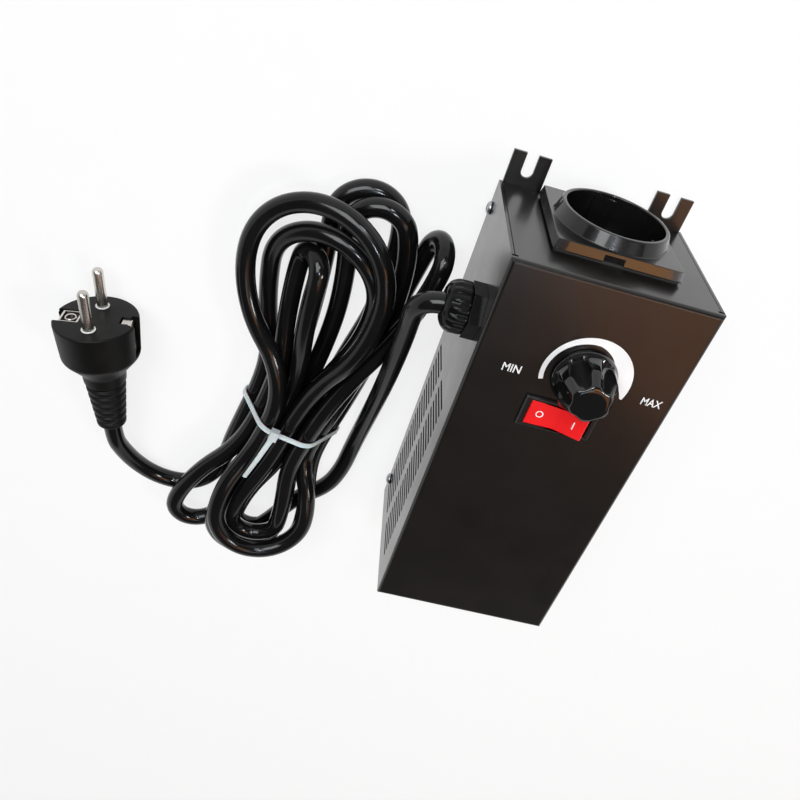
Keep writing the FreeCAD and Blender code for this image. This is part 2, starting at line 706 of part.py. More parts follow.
def make_switch_body():
    y0 = dim.switch_y
    frame = block((-dim.bezel_length / 2, dim.bezel_length / 2),
                  (y0 - dim.bezel_width / 2, y0 + dim.bezel_width / 2),
                  (dim.case_depth, dim.case_depth + dim.bezel_height))
    top = (dim.case_depth + dim.bezel_height).value
    frame = bevel(frame, 0.7, lambda edge, middle: abs(middle.z - top) < 1e-6)
    body = block((-body_half_x, body_half_x), (y0 - body_half_y, y0 + body_half_y),
                 (dim.case_depth - dim.switch_depth, dim.case_depth + 0.5))
    well = block((-dim.well_half, dim.well_half), (y0 - well_y, y0 + well_y),
                 (dim.case_depth - dim.well_depth, dim.case_depth + dim.bezel_height + 1))
    pivots = rod("+y", (0, y0 - body_half_y + 0.2, pivot_z), dim.pivot_r + 0.05,
                 2 * body_half_y - 0.4)
    wings = []
    for side in (-1, 1):
        inner, outer = side * (body_half_x - 0.3), side * (body_half_x + 0.9)
        low, high = (outer, inner) if side < 0 else (inner, outer)
        wings.append(block((low, high), (y0 - 3, y0 + 3), (panel_inside - 4, panel_inside - 0.4)))
    return part("switch_body", cut(fuse(frame, body, *wings), well, pivots))


def make_rocker():
    half, end, middle = dim.rocker_half, dim.rocker_end, dim.rocker_middle
    side = [(half, end), (half + 0.1, end - 1.6), (half - 0.5, end - 4.4), (half - 4.6, end - 8.4),
            (3, end - 11.2)]
    shape = [(0, middle)] + side + [(-a, b) for a, b in reversed(side)]
    slab = extrude(outline(shape, ON_XZ, (0, dim.rocker_width / 2, 0)), Vector(0, -1, 0),
                   dim.rocker_width)
    reach = body_half_y - 0.3
    pin = rod("+y", (0, -reach, 0), dim.pivot_r, 2 * reach)
    rocker = fuse(slab, pin)
    tilt = Rotation(Vector(0, 1, 0), -dim.rocker_tilt.value)
    return part("rocker", place(rocker, 0, dim.switch_y, pivot_z, tilt))


def make_switch_blades():
    top = dim.case_depth - dim.switch_depth
    blades = []
    for x in (-7, 7):
        for y in (-3.2, 3.2):
            blades.append(block((x - dim.blade_gauge / 2, x + dim.blade_gauge / 2),
                                (dim.switch_y + y - dim.blade_width / 2,
                                 dim.switch_y + y + dim.blade_width / 2),
                                (top - dim.blade_length, top)))
    return part("switch_blades", group(*blades))


# Cable gland: hexagon body through the side wall, ribbed domed nut, seal, lock nut.
gland_face = -half_width
gland_z = dim.case_depth - dim.gland_drop
hex_end = gland_face - dim.gland_collar
dome_end = hex_end - dim.gland_dome_length
seal_length = 5.5


def make_gland_body():
    at = (dim.gland_y, gland_z)
    collar = hexagon("-x", (gland_face, *at), dim.gland_flats, dim.gland_collar)
    stub_end = gland_face + dim.skin + dim.locknut_height + 2
    thread = rod("-x", (stub_end, *at), dim.gland_thread_r, stub_end - gland_face + 0.5)
    bore = prism("-x", (stub_end + 1, *at), 8, dim.gland_mouth_r, 40)
    return part("gland_body", cut(fuse(collar, thread), bore))


def make_gland_dome():
    at = (dim.gland_y, gland_z)
    straight, flutes = 5.6, 16
    grip = prism("-x", (hex_end, *at), flutes, dim.gland_dome_r, straight)
    crown = frustum("-x", (hex_end - straight, *at), flutes, dim.gland_dome_r,
                    dim.gland_mouth_r + 2, dim.gland_dome_length - straight)
    seal_room = prism("-x", (hex_end + 1, *at), 8, dim.gland_mouth_r + 1.7, 1 + seal_length)
    mouth = rod("-x", (hex_end + 1, *at), dim.gland_mouth_r, 20)
    return part("gland_dome", cut(fuse(grip, crown), seal_room, mouth))


def make_gland_seal():
    at = (dim.gland_y, gland_z)
    ring = prism("-x", (hex_end, *at), 8, dim.gland_mouth_r + 1.6, seal_length)
    hole = rod("-x", (hex_end + 1, *at), dim.cord_r + 0.05, seal_length + 2)
    return part("gland_seal", cut(ring, hole))


def make_gland_locknut():
    at = (dim.gland_y, gland_z)
    start = gland_face + dim.skin + dim.locknut_height
    ring = hexagon("-x", (start, *at), dim.locknut_flats, dim.locknut_height)
    hole = rod("-x", (start + 1, *at), dim.gland_thread_r + 0.05, dim.locknut_height + 2)
    return part("gland_locknut", cut(ring, hole))


# Circuit board on four standoffs, with what it carries.
board_foot = dim.plate + dim.standoff
board_top = board_foot + dim.board_height
hole_x = dim.board_width / 2 - dim.board_hole_inset
hole_y = dim.board_length / 2 - dim.board_hole_inset
board_end = dim.board_y + dim.board_length / 2
board_right = dim.board_width / 2
BOARD_CORNERS = [(-1, -1), (-1, 1), (1, -1), (1, 1)]
BOARD_SCREW_R = 1.4


def board_corner(sides):
    return (sides[0] * hole_x, dim.board_y + sides[1] * hole_y)


def make_circuit_board():
    slab = block((-dim.board_width / 2, dim.board_width / 2),
                 (dim.board_y - dim.board_length / 2, dim.board_y + dim.board_length / 2),
                 (board_foot, board_top))
    holes = [hexagon("+z", (*board_corner(sides), board_foot - 1), 2 * BOARD_SCREW_R + 0.2,
                     dim.board_height + 2) for sides in BOARD_CORNERS]
    return part("circuit_board", cut(slab, *holes))


def make_board_standoffs():
    posts = []
    for sides in BOARD_CORNERS:
        at = board_corner(sides)
        posts.append(hexagon("+z", (*at, dim.plate), 2 * dim.standoff_r, dim.standoff))
    return part("board_standoffs", group(*posts))


def make_board_screws():
    screws = []
    for sides in BOARD_CORNERS:
        at = board_corner(sides)
        shank = hexagon("+z", (*at, board_foot), 2 * BOARD_SCREW_R, dim.board_height)
        screws.append(fuse(shank, hexagon("+z", (*at, board_top), 5, 1.8)))
    return part("board_screws", group(*screws))


def make_heat_sink():
    half = dim.sink_width / 2
    low, high = dim.sink_y - dim.sink_length / 2, dim.sink_y + dim.sink_length / 2
    base_top = board_top + dim.sink_wall + 0.5
    pieces = [block((-half, half), (low, high), (board_top, base_top))]
    fins = int(dim.sink_fins.value)
    for number in range(fins):
        x = -half + number * ((dim.sink_width - dim.sink_wall) / (fins - 1))
        pieces.append(block((x, x + dim.sink_wall), (low, high),
                            (base_top - 0.5, board_top + dim.sink_height)))
    return part("heat_sink", fuse(*pieces))


triac_y = dim.sink_y + dim.sink_length / 2


def make_triac():
    body = block((-5, 5), (triac_y + 1.3, triac_y + 5.8), (board_top + 3, board_top + 12))
    tab = block((-5, 5), (triac_y, triac_y + 1.4), (board_top + 3, board_top + 18.5))
    legs = [block((x - 0.5, x + 0.5), (triac_y + 3, triac_y + 3.6), (board_top, board_top + 3.5))
            for x in (-2.54, 0, 2.54)]
    hole = prism("+y", (0, triac_y - 1, board_top + 15.5), 8, 1.9, 4)
    return part("triac", cut(fuse(body, tab, *legs), hole))


def make_choke_coil():
    at = (board_right - dim.choke_inset, board_end - dim.choke_back, board_top)
    height = 2 * dim.choke_wire_r
    outside = prism("+z", at, 12, dim.choke_r + dim.choke_wire_r, height)
    return part("choke_coil", cut(outside, prism("+z", at, 12, dim.choke_r - dim.choke_wire_r,
                                                 height + 1)))


def make_capacitors():
    left, end = dim.film_inset - board_right, board_end - dim.film_back
    film = block((left, left + dim.film_width), (end - dim.film_length, end),
                 (board_top, board_top + dim.film_height))
    beside = left + dim.film_width + 1.5
    timing = block((beside, beside + dim.timing_width), (end - dim.timing_length, end),
                   (board_top, board_top + dim.timing_height))
    return part("capacitors", group(film, timing))


fuse_z = board_top + dim.fuse_lift
fuse_x = dim.fuse_inset - board_right
fuse_y = board_end - dim.fuse_back


def make_fuse_clips():
    clips = []
    grip, wide = 4, 4
    for side in (-1, 1):
        middle = fuse_y + side * (dim.fuse_length / 2 - 1 - grip / 2)
        span = (middle - grip / 2, middle + grip / 2)
        room = dim.fuse_r + 0.05
        clips.append(cut(block((fuse_x - wide, fuse_x + wide), span,
                               (board_top, fuse_z + dim.fuse_r)),
                         block((fuse_x - room, fuse_x + room), (span[0] - 1, span[1] + 1),
                               (fuse_z - room, fuse_z + dim.fuse_r + 1))))
    return part("fuse_clips", group(*clips))


def make_fuse():
    tube = rod("+y", (fuse_x, fuse_y - dim.fuse_length / 2, fuse_z), dim.fuse_r,
               dim.fuse_length)
    return part("fuse", tube)


def make_terminal_block():
    y = dim.board_y - dim.board_length / 2
    ways, pitch, half = int(dim.terminal_ways.value), dim.terminal_pitch, dim.terminal_slot
    housing = block((-pitch * ways / 2, pitch * ways / 2), (y + 1, y + 1 + dim.terminal_depth),
                    (board_top, board_top + dim.terminal_height))
    cuts = []
    for number in range(ways):
        x = pitch * (number - (ways - 1) / 2)
        cuts.append(block((x - half, x + half), (y, y + 7), (board_top + 2, board_top + 6)))
        cuts.append(block((x - half, x + half), (y + 3, y + 7),
                          (board_top + 5, board_top + dim.terminal_height + 1)))
    return part("terminal_block", cut(housing, *cuts))


# Plug: its pieces are made round a local axis, +Y out of the pins, then laid on the floor.
def plug_stand():
    turn = Rotation(Vector(0, 0, 1), dim.plug_turn.value)
    lift = Rotation(Vector(1, 0, 0), dim.plug_lift.value)
    at = Vector(dim.plug_x.value, dim.plug_y.value, dim.plug_z.value)
    return Placement(at, turn.multiply(lift))


def lay(solid):
    return place(solid, dim.plug_x, dim.plug_y, dim.plug_z, plug_stand().Rotation)


plug_tail = -(dim.plug_grip + dim.plug_taper)


def make_plug_body():
    r = dim.plug_r
    profile = [(0, 0), (r, 0), (r, -dim.plug_grip),
               (dim.plug_neck_r, plug_tail), (0, plug_tail)]
    turned = revolve(outline(profile), Vector(0, 0, 0), Vector(0, 1, 0))
    cuts = []
    flat = r - 1.3
    for side in (-1, 1):
        z = side * dim.pin_spacing / 2
        cuts.append(hexagon("-y", (0, 1, z), 2 * dim.plug_root_r + 0.04,
                            dim.plug_root_length + 1))
        outer, inner = side * (r + 1), side * flat
        low, high = (outer, inner) if side < 0 else (inner, outer)
        cuts.append(block((low, high), (-dim.plug_grip + 1, 1), (-4.6, 4.6)))
        outer, inner = side * (flat + 0.1), side * (r - 7.6)
        low, high = (outer, inner) if side < 0 else (inner, outer)
        cuts.append(block((low, high), (-0.9, 1), (-4.6, 4.6)))
    body = cut(turned, *cuts)
    return part("plug_body", lay(body))


def make_plug_boot():
    """Strain relief: a core with rings that get smaller towards the cord."""
    ribs = int(dim.boot_ribs.value)
    groove, sides = 1.4, 24
    pitch = dim.boot_length / (2 * ribs)
    rings = []
    for number in range(ribs):
        radius = dim.plug_neck_r + (dim.boot_end_r - dim.plug_neck_r) * (number / (ribs - 1))
        top = plug_tail - 2 * number * pitch
        rings.append(prism("-y", (0, top, 0), sides, radius, pitch))
        rings.append(prism("-y", (0, top - pitch, 0), sides, radius - groove, pitch))
    bore = prism("-y", (0, plug_tail + 1, 0), 8, dim.cord_r + 0.45, dim.boot_length + 2)
    boot = cut(fuse(*rings), bore)
    return part("plug_boot", lay(boot))


def make_plug_pins():
    pins = []
    for side in (-1, 1):
        z = side * dim.pin_spacing / 2
        foot = dim.plug_ring_height
        pins.append(fuse(hexagon("-y", (0, foot, z), 2 * dim.plug_root_r,
                                 dim.plug_root_length + foot),
                         rod("+y", (0, foot, z), dim.plug_pin_r, dim.plug_pin_length - foot)))
    return part("plug_pins", lay(group(*pins)))


def make_plug_rings():
    rings = []
    for side in (-1, 1):
        z = side * dim.pin_spacing / 2
        ring = prism("+y", (0, 0, z), 16, dim.plug_ring_r, dim.plug_ring_height)
        hole = hexagon("-y", (0, 2, z), 2 * dim.plug_root_r + 0.04, 5)
        rings.append(cut(ring, hole))
    return part("plug_rings", lay(group(*rings)))


def make_plug_earth_contacts():
    plates = []
    r = dim.plug_r
    for side in (-1, 1):
        outer, inner = side * (r - 0.5), side * (r - 1.3)
        low, high = (outer, inner) if side < 0 else (inner, outer)
        strip = block((low, high), (-dim.plug_grip + 1.5, -0.1), (-3.5, 3.5))
        outer, inner = side * (r - 0.5), side * (r - 7.5)
        low, high = (outer, inner) if side < 0 else (inner, outer)
        tongue = block((low, high), (-0.9, -0.1), (-3.5, 3.5))
        hole = rod("+y", (side * (r - 4.6), -2, 0), 1.5, 4)
        plates.append(cut(fuse(strip, tongue), hole))
    return part("plug_earth_contacts", lay(group(*plates)))


# Mains lead: routes and the hank are given by points that were measured on the real cord.
CORD_SIDES = 6
GLAND_START = Vector(-48.5, dim.gland_y.value, gland_z.value)
GLAND_BEND = [(-8.5, 0, 0), (-14.3, -5.3, -3.1)]
LEAD_ROUTE = [(-63, 44.3, 46.9), (-62.2, 33.5, 41.8), (-61.6, 17.5, 35), (-61.4, -5, 25.2),
              (-61.8, -26, 15.5), (-62.8, -46, 8), (-64, -61, 4.5), (-65.5, -77, 4.4),
              (-70.5, -92, 4.4)]
TAIL_ROUTE = [(-122.4, -72, 4.7), (-124.1, -85.5, 4.4), (-126.8, -97, 4.4), (-132.9, -106, 4.4),
              (-142, -111.5, 4.4), (-152.6, -112.6, 4.9), (-162.3, -108.2, 7), (-169.8, -99, 10.5),
              (-174.8, -88.8, 14)]

# Each loop of the hank: its middle, its radius, the heading of its far point clockwise from
# +Y, how it rises across and outwards, and the side it is entered from. Then where its way
# back crosses the waist: offset across, height, heading and slope.
WAIST = Vector(-98, -48.7, 0)
WAIST_LEAN = 12
WAIST_HALF = 5
TIE_SWING = 6
TIE_RISE = 7
HANK = [
    ((-104.7, -121.5, 4.4), 10, 208, 0, 0, 1, (0, 5.3, 12, 0)),
    ((-81.5, 57, 13), 12.5, -12, 8, 2, 1, (14.8, 13.3, 16, 0)),
    ((-100, -98.5, 28.5), 22, 181, 8, 8, 1, (-9.6, 21.4, 11, 4)),
    ((-102.5, 36.5, 23), 31, 0, 18, -1, 1, (0, 21.4, 12, 0)),
    ((-102.5, -106, 24.5), 11.5, 182, 4, -9, -1, (9.6, 21.4, 14, 0)),
    ((-57, 52, 14.5), 10, 12, 74, 7, -1, (19.8, 5.3, 14, -2)),
    ((-101, -115, 17), 22.5, 182, 8, -5, 1, (-4.6, 13.3, 10, 0)),
    ((-105.5, 35.5, 17), 8.5, 2, 57, -2, -1, (-14.6, 13.3, 12, -2)),
    ((-133, -115.5, 12.5), 11.5, 198, 13, 3, -1, (-9.4, 5.3, 12, -1)),
    ((-87, 57.5, 5.5), 14.5, -4, 0, -4, 1, (9.6, 5.3, 10, 1)),
    ((-102, -117, 14.5), 11, 186, 2, 1, 1, (4.8, 13.3, 9, 0)),
    ((-98.5, 30.5, 15), 24.5, 2, 17, 13, -1, (-19.6, 5.3, 11, -1)),
]


def unit(vector):
    return vector / vector.Length


def aim(heading, slope):
    turn = math.radians(heading)
    return unit(Vector(math.sin(turn), math.cos(turn), math.tan(math.radians(slope))))


def arc(start, heading, end):
    """The arc that sets out from start along heading and stops at end."""
    chord = end - start
    along = unit(chord)
    aside = unit(heading) - along * unit(heading).dot(along)
    if aside.Length < 1e-6:
        return Part.LineSegment(start, end).toShape()
    quarter = math.atan2(aside.Length, unit(heading).dot(along)) / 2
    middle = start + chord / 2 + unit(aside) * (chord.Length / 2 * math.tan(quarter))
    return Part.Arc(start, middle, end).toShape()


def biarc(start, out, end, into):
    """Two arcs of equal reach, from start along out to end along into."""
    gap, both = end - start, out + into
    rest = 2 * (1 - out.dot(into))
    reach = gap.dot(gap) / (4 * gap.dot(into))
    if rest > 1e-9:
        reach = (math.sqrt(gap.dot(both) ** 2 + rest * gap.dot(gap)) - gap.dot(both)) / rest
    first, second = start + out * reach, end - into * reach
    joint = (first + second) / 2
    return [arc(start, out, joint), arc(joint, second - first, end)]


def bend_route(points):
    """Straight runs joined by arcs, each as large as its two runs allow."""
    points = [Vector(*point) for point in points]
    edges, radii, start = [], [], points[0]
    for before, at, after in zip(points, points[1:], points[2:]):
        back, on = before - at, after - at
        half_turn = (math.pi - back.getAngle(on)) / 2
        reach = 0.45 * min(back.Length, on.Length)
        radius = reach / math.tan(half_turn)
        radii.append(radius)
        first, last = at + unit(back) * reach, at + unit(on) * reach
        inward = unit(unit(back) + unit(on))
        middle = at + inward * (radius / math.cos(half_turn) - radius)
        edges += [Part.LineSegment(start, first).toShape(), Part.Arc(first, middle, last).toShape()]
        start = last
    edges.append(Part.LineSegment(start, points[-1]).toShape())
    print("bend radii:", " ".join(f"{radius:.0f}" for radius in radii))
    return edges


def wind_hank():
    """The hank's path, its first and its last heading."""
    across = aim(90 + WAIST_LEAN, 0)
    edges, here, heading, up = [], None, None, True
    for middle, radius, far, rise_across, rise_out, side, waist in HANK:
        middle = Vector(*middle)
        right = aim(90 + far, rise_across)
        out = aim(far, rise_out)
        out = unit(out - right * out.dot(right))
        enter, leave = middle - right * (radius * side), middle + right * (radius * side)
        if here is None:
            here = enter - out * (2 * dim.cord_r.value)
            start, first = here, out
            edges.append(Part.LineSegment(here, enter).toShape())
        else:
            edges += biarc(here, heading, enter, out)
        edges.append(Part.Arc(enter, middle + out * radius, leave).toShape())
        offset, height, turn, slope = waist
        crossing = WAIST + across * offset + Vector(0, 0, height)
        way = aim(turn, slope) * (1 if up else -1)
        edges += biarc(leave, -out, crossing - way * WAIST_HALF, way)
        here, heading, up = crossing + way * WAIST_HALF, way, not up
        edges.append(Part.LineSegment(crossing - way * WAIST_HALF, here).toShape())
    return edges, start, first, here, heading


def least_gap(path):
    """Least distance between stretches of a path, surface to surface."""
    step, near = 1.5, 3 * 2 * dim.cord_r.value
    points = path.discretize(int(path.Length / step))
    spots = [(point.x, point.y, point.z) for point in points]
    apart = int(near / step) + 1
    least = 1e9
    for index, (ax, ay, az) in enumerate(spots):
        for bx, by, bz in spots[index + apart:]:
            least = min(least, (ax - bx) ** 2 + (ay - by) ** 2 + (az - bz) ** 2)
    return math.sqrt(least) - 2 * dim.cord_r.value


def cord(name, edges, start, heading):
    """A tube along a path, with a flat side down where it starts."""
    path = Part.Wire(edges)
    across = unit(heading.cross(Vector(0, 0, 1)))
    upward = across.cross(heading)
    radius, corners = dim.cord_r.value, []
    for number in range(CORD_SIDES + 1):
        angle = 2 * math.pi * (number + 0.5) / CORD_SIDES
        corners.append(start + across * (radius * math.cos(angle))
                       + upward * (radius * math.sin(angle)))
    ring = Part.makePolygon(corners)
    tube = doc.addObject("Part::Feature", name)
    tube.Shape = path.makePipeShell([ring], True, False)
    section = CORD_SIDES / 2 * radius ** 2 * math.sin(2 * math.pi / CORD_SIDES)
    print(f"{name}: length {path.Length:.0f} mm, volume over section times length "
          f"{tube.Shape.Volume / (section * path.Length):.3f}")
    part(name, tube)
    return path


def make_cords():
    hank, start, first, end, last = wind_hank()
    reach = 2.4 * dim.cord_r.value
    bend = [GLAND_START + Vector(*step) for step in GLAND_BEND]
    lead = bend_route([GLAND_START] + bend + LEAD_ROUTE + [start - first * 1.6 * reach, start])
    cord("cord_lead", lead, GLAND_START, Vector(-1, 0, 0))
    path = cord("cord_hank", hank, start, first)
    print(f"cord_hank: {len(HANK)} loops, least gap to itself {least_gap(path):.2f} mm")
    plug = plug_stand()
    boot_end = plug.multVec(Vector(0, (plug_tail - dim.boot_length).value, 0))
    boot_way = plug.Rotation.multVec(Vector(0, 1, 0))
    tail = bend_route([end, end + last * reach] + TAIL_ROUTE + [boot_end - boot_way * reach, boot_end])
    cord("cord_tail", tail, end, last)


def make_cable_tie():
    """A strap drawn round the hank's waist, its head on top and its end laid along a loop."""
    room, strap, wide, shift = dim.cord_r + 0.3, 0.7, 2.8, 1.5
    corner, crown = (19.8, 5.3), (9.6, 21.4)
    right = [(corner, -90), (corner, -50), (corner, -10), (corner, 33), (crown, 61), (crown, 90)]
    left = [((-u, z), 180 - angle) for (u, z), angle in reversed(right[1:-1])]
    stops = right + left
    rings = []
    for extra in (0, strap):
        ring = []
        for (spot, turn), (other, other_turn) in zip(stops, stops[1:] + stops[:1]):
            a, b = math.radians(turn), math.radians(other_turn)
            reach_a = room + (spot[0] * math.cos(a) + spot[1] * math.sin(a) + extra)
            reach_b = room + (other[0] * math.cos(b) + other[1] * math.sin(b) + extra)
            spread = math.sin(b - a)
            ring.append(((reach_a * math.sin(b) - reach_b * math.sin(a)) / spread,
                         (reach_b * math.cos(a) - reach_a * math.cos(b)) / spread))
        rings.append(ring)
    inner, outer = [extrude(outline(ring, ON_XZ), Vector(0, 1, 0), wide) for ring in rings]
    top = crown[1] + room + strap
    head = block((-7.5, -3.5), (-1, wide + 1), (top - 0.2, top + 3))
    strip = outline([(-1.4, 0), (1.4, 0), (1, -28), (-1, -28)], at=(0, 0, 0))
    strip = extrude(strip, Vector(0, 0, 1), 1)
    strip.Placement = Placement(Vector(-5.5, 0.2, (top + 0.6).value),
                                Rotation(Vector(0, 0, 1), -TIE_SWING).multiply(
                                    Rotation(Vector(1, 0, 0), -TIE_RISE)))
    tie = cut(fuse(outer, head, strip), inner)
    turn = Rotation(Vector(0, 0, 1), -WAIST_LEAN)
    stand = Placement(WAIST + turn.multVec(Vector(0, shift - wide / 2, 0)), turn)
    return part("cable_tie", tie, stand)


for make in (make_back_plate, make_front_cover, make_cover_screws, make_outlet_gasket,
             make_outlet_housing, make_outlet_insert, make_outlet_contacts,
             make_outlet_earth_clips, make_knob, make_control_body, make_control_shaft,
             make_control_washer, make_control_nut, make_switch_body, make_rocker,
             make_switch_blades, make_gland_body, make_gland_dome, make_gland_seal,
             make_gland_locknut, make_circuit_board, make_board_standoffs, make_board_screws,
             make_heat_sink, make_triac, make_choke_coil, make_capacitors, make_fuse_clips,
             make_fuse, make_terminal_block, make_plug_body, make_plug_boot, make_plug_pins,
             make_plug_rings, make_plug_earth_contacts, make_cords, make_cable_tie):
    make()


# Build everything, check it, and only then write one file for each sub-part.
def finish():
    doc.recompute()
    for thing in doc.Objects:
        for word in thing.State:
            if word in ("Invalid", "Error"):
                raise RuntimeError(f"{thing.Name} ({thing.Label}) is {word}")
    for name, solid in PARTS:
        shape = solid.Shape
        if shape.isNull() or not shape.isValid() or not shape.Solids:
            raise RuntimeError(f"{name} has no valid solid")
    os.makedirs("parts", exist_ok=True)
    for name, solid in PARTS:
        solid.Shape.exportStep(f"parts/{name}.step")
        box = solid.Shape.BoundBox
        print(f"{name}: {len(solid.Shape.Solids)} solids, {solid.Shape.Volume:.1f} mm3, "
              f"x {box.XMin:.1f} {box.XMax:.1f} y {box.YMin:.1f} {box.YMax:.1f} "
              f"z {box.ZMin:.1f} {box.ZMax:.1f}")


finish()
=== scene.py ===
import json
import math

import bmesh
import bpy
from mathutils import Matrix, Vector

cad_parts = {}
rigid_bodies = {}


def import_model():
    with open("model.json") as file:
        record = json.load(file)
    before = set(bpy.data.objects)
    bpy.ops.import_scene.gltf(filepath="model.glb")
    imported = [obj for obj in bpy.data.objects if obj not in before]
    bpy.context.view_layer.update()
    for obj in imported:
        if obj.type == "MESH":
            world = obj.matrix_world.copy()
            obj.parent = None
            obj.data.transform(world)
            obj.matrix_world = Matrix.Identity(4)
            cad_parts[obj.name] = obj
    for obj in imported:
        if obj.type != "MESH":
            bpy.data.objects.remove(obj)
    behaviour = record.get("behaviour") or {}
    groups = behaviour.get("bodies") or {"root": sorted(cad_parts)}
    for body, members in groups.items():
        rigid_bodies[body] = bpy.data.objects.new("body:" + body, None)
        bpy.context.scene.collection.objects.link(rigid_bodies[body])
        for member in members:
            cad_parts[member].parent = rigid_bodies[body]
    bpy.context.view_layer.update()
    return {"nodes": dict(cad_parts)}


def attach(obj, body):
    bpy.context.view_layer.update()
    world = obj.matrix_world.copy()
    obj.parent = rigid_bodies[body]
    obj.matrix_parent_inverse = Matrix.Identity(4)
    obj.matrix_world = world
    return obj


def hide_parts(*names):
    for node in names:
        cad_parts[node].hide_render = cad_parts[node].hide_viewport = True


scene = bpy.context.scene
for leftover in list(bpy.data.objects):
    bpy.data.objects.remove(leftover)
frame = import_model()

# View, floor and light: the dimmer lies on its back on a pale floor and is seen from above
# its outlet end, a little to the left. A broad soft lamp hangs overhead, small ones make the
# glints on cord and knob, and warm ones colour the front and the outlet's flange.
camera = bpy.data.objects.new("camera", bpy.data.cameras.new("camera"))
scene.collection.objects.link(camera)
camera.data.sensor_width = 36
camera.data.lens = 37.32
camera.matrix_world = Matrix((
    (0.9616, -0.2393, -0.1347, -0.10258),
    (0.2724, 0.7687, 0.5788, 0.20376),
    (-0.0349, -0.5932, 0.8043, 0.32454),
    (0, 0, 0, 1)))
scene.camera = camera
scene.view_settings.view_transform = "Standard"


def lamp(name, power, size, place, target, colour):
    """A square soft lamp of that many watts that faces its target."""
    light = bpy.data.lights.new(name, "AREA")
    light.energy = power
    light.size = size
    light.color = colour
    stand = bpy.data.objects.new(name, light)
    scene.collection.objects.link(stand)
    stand.location = place
    stand.rotation_euler = (Vector(target) - Vector(place)).to_track_quat("-Z", "Y").to_euler()


lamp("overhead", 21, 1.0, (-0.65, 0.95, 1.45), (-0.05, 0, 0), (0.97, 0.99, 1))
lamp("glint", 2.4, 0.15, (0.03, 0.92, 1.05), (-0.05, 0, 0), (0.92, 0.97, 1))
lamp("knob_glint", 2, 0.08, (0.015, 0.30, 1.044), (0, 0.06, 0.07), (0.85, 0.9, 1))
lamp("right_glint", 4, 0.2, (0.75, 0.1, 0.95), (-0.05, 0, 0), (0.94, 0.98, 1))
lamp("warm_side", 1.05, 0.5, (0.62, -0.36, 1.2), (0, 0, 0), (1, 0.4, 0.15))
lamp("warm_glint", 1.1, 0.3, (0.42, 0.04, 1.2), (0, 0, 0), (1, 0.45, 0.14))
lamp("cool_side", 0.5, 0.25, (0.2, -0.24, 1.2), (0, 0, 0), (0.75, 0.88, 1))

room = bpy.data.worlds.new("room")
scene.world = room
room.use_nodes = True
room.node_tree.nodes["Background"].inputs["Color"].default_value = (0.96, 0.98, 1, 1)
room.node_tree.nodes["Background"].inputs["Strength"].default_value = 0.1


def finish(name, colour, rough, grain, relief, cloud=0.15, patch=0.05, sockets=None):
    """A surface whose colour and gloss are a little uneven, with a fine grain over it."""
    made = bpy.data.materials.new(name)
    made.use_nodes = True
    nodes, links = made.node_tree.nodes, made.node_tree.links
    skin = nodes["Principled BSDF"]
    for socket, value in (sockets or {}).items():
        skin.inputs[socket].default_value = value
    place = nodes.new("ShaderNodeTexCoord")

    def speckle(size, detail):
        noise = nodes.new("ShaderNodeTexNoise")
        noise.inputs["Scale"].default_value = 1 / size
        noise.inputs["Detail"].default_value = detail
        links.new(place.outputs["Object"], noise.inputs["Vector"])
        return noise.outputs["Fac"]

    tint = nodes.new("ShaderNodeValToRGB")
    for stop, spot, share in zip(tint.color_ramp.elements, (0.35, 0.65), (1 - cloud, 1 + cloud)):
        stop.position = spot
        stop.color = (*[min(1, part * share) for part in colour], 1)
    links.new(speckle(0.02, 3), tint.inputs["Fac"])
    links.new(tint.outputs["Color"], skin.inputs["Base Color"])
    gloss = nodes.new("ShaderNodeMapRange")
    gloss.inputs["From Min"].default_value = 0.3
    gloss.inputs["From Max"].default_value = 0.7
    gloss.inputs["To Min"].default_value = max(0.02, rough - patch)
    gloss.inputs["To Max"].default_value = rough + patch
    links.new(speckle(0.012, 4), gloss.inputs["Value"])
    links.new(gloss.outputs["Result"], skin.inputs["Roughness"])
    bump = nodes.new("ShaderNodeBump")
    bump.inputs["Distance"].default_value = relief
    links.new(speckle(grain, 2), bump.inputs["Height"])
    links.new(bump.outputs["Normal"], skin.inputs["Normal"])
    return made


floor_radius, wall_height, floor_sides = 12, 6.6, 32
around = [(floor_radius * math.cos(math.tau * step / floor_sides),
           floor_radius * math.sin(math.tau * step / floor_sides)) for step in range(floor_sides)]
walls = []
for step in range(floor_sides):
    after = (step + 1) % floor_sides
    walls.append((step, after, after + floor_sides, step + floor_sides))
floor_data = bpy.data.meshes.new("floor")
floor_data.from_pydata([(x, y, z) for z in (-0.0001, wall_height) for x, y in around], [],
                       [tuple(range(floor_sides)), *walls])
floor = bpy.data.objects.new("floor", floor_data)
scene.collection.objects.link(floor)
pale_floor = finish("pale_floor", (0.9, 0.9, 0.9), 0.8, 0.003, 0.00002, 0.01)
floor_data.materials.append(pale_floor)
nodes, links = pale_floor.node_tree.nodes, pale_floor.node_tree.links
seen = nodes.new("ShaderNodeLightPath")
by_eye = seen.outputs["Is Camera Ray"]
for other in ("Is Glossy Ray", "Is Transmission Ray"):
    either = nodes.new("ShaderNodeMath")
    either.operation = "MAXIMUM"
    links.new(by_eye, either.inputs[0])
    links.new(seen.outputs[other], either.inputs[1])
    by_eye = either.outputs["Value"]
share = nodes.new("ShaderNodeMath")
share.operation = "MULTIPLY"
floor_whiteness = 0.78
share.inputs[1].default_value = floor_whiteness
links.new(by_eye, share.inputs[0])
white = nodes.new("ShaderNodeEmission")
mixed = nodes.new("ShaderNodeMixShader")
links.new(share.outputs["Value"], mixed.inputs["Fac"])
links.new(nodes["Principled BSDF"].outputs["BSDF"], mixed.inputs[1])
links.new(white.outputs["Emission"], mixed.inputs[2])
links.new(mixed.outputs["Shader"], nodes["Material Output"].inputs["Surface"])

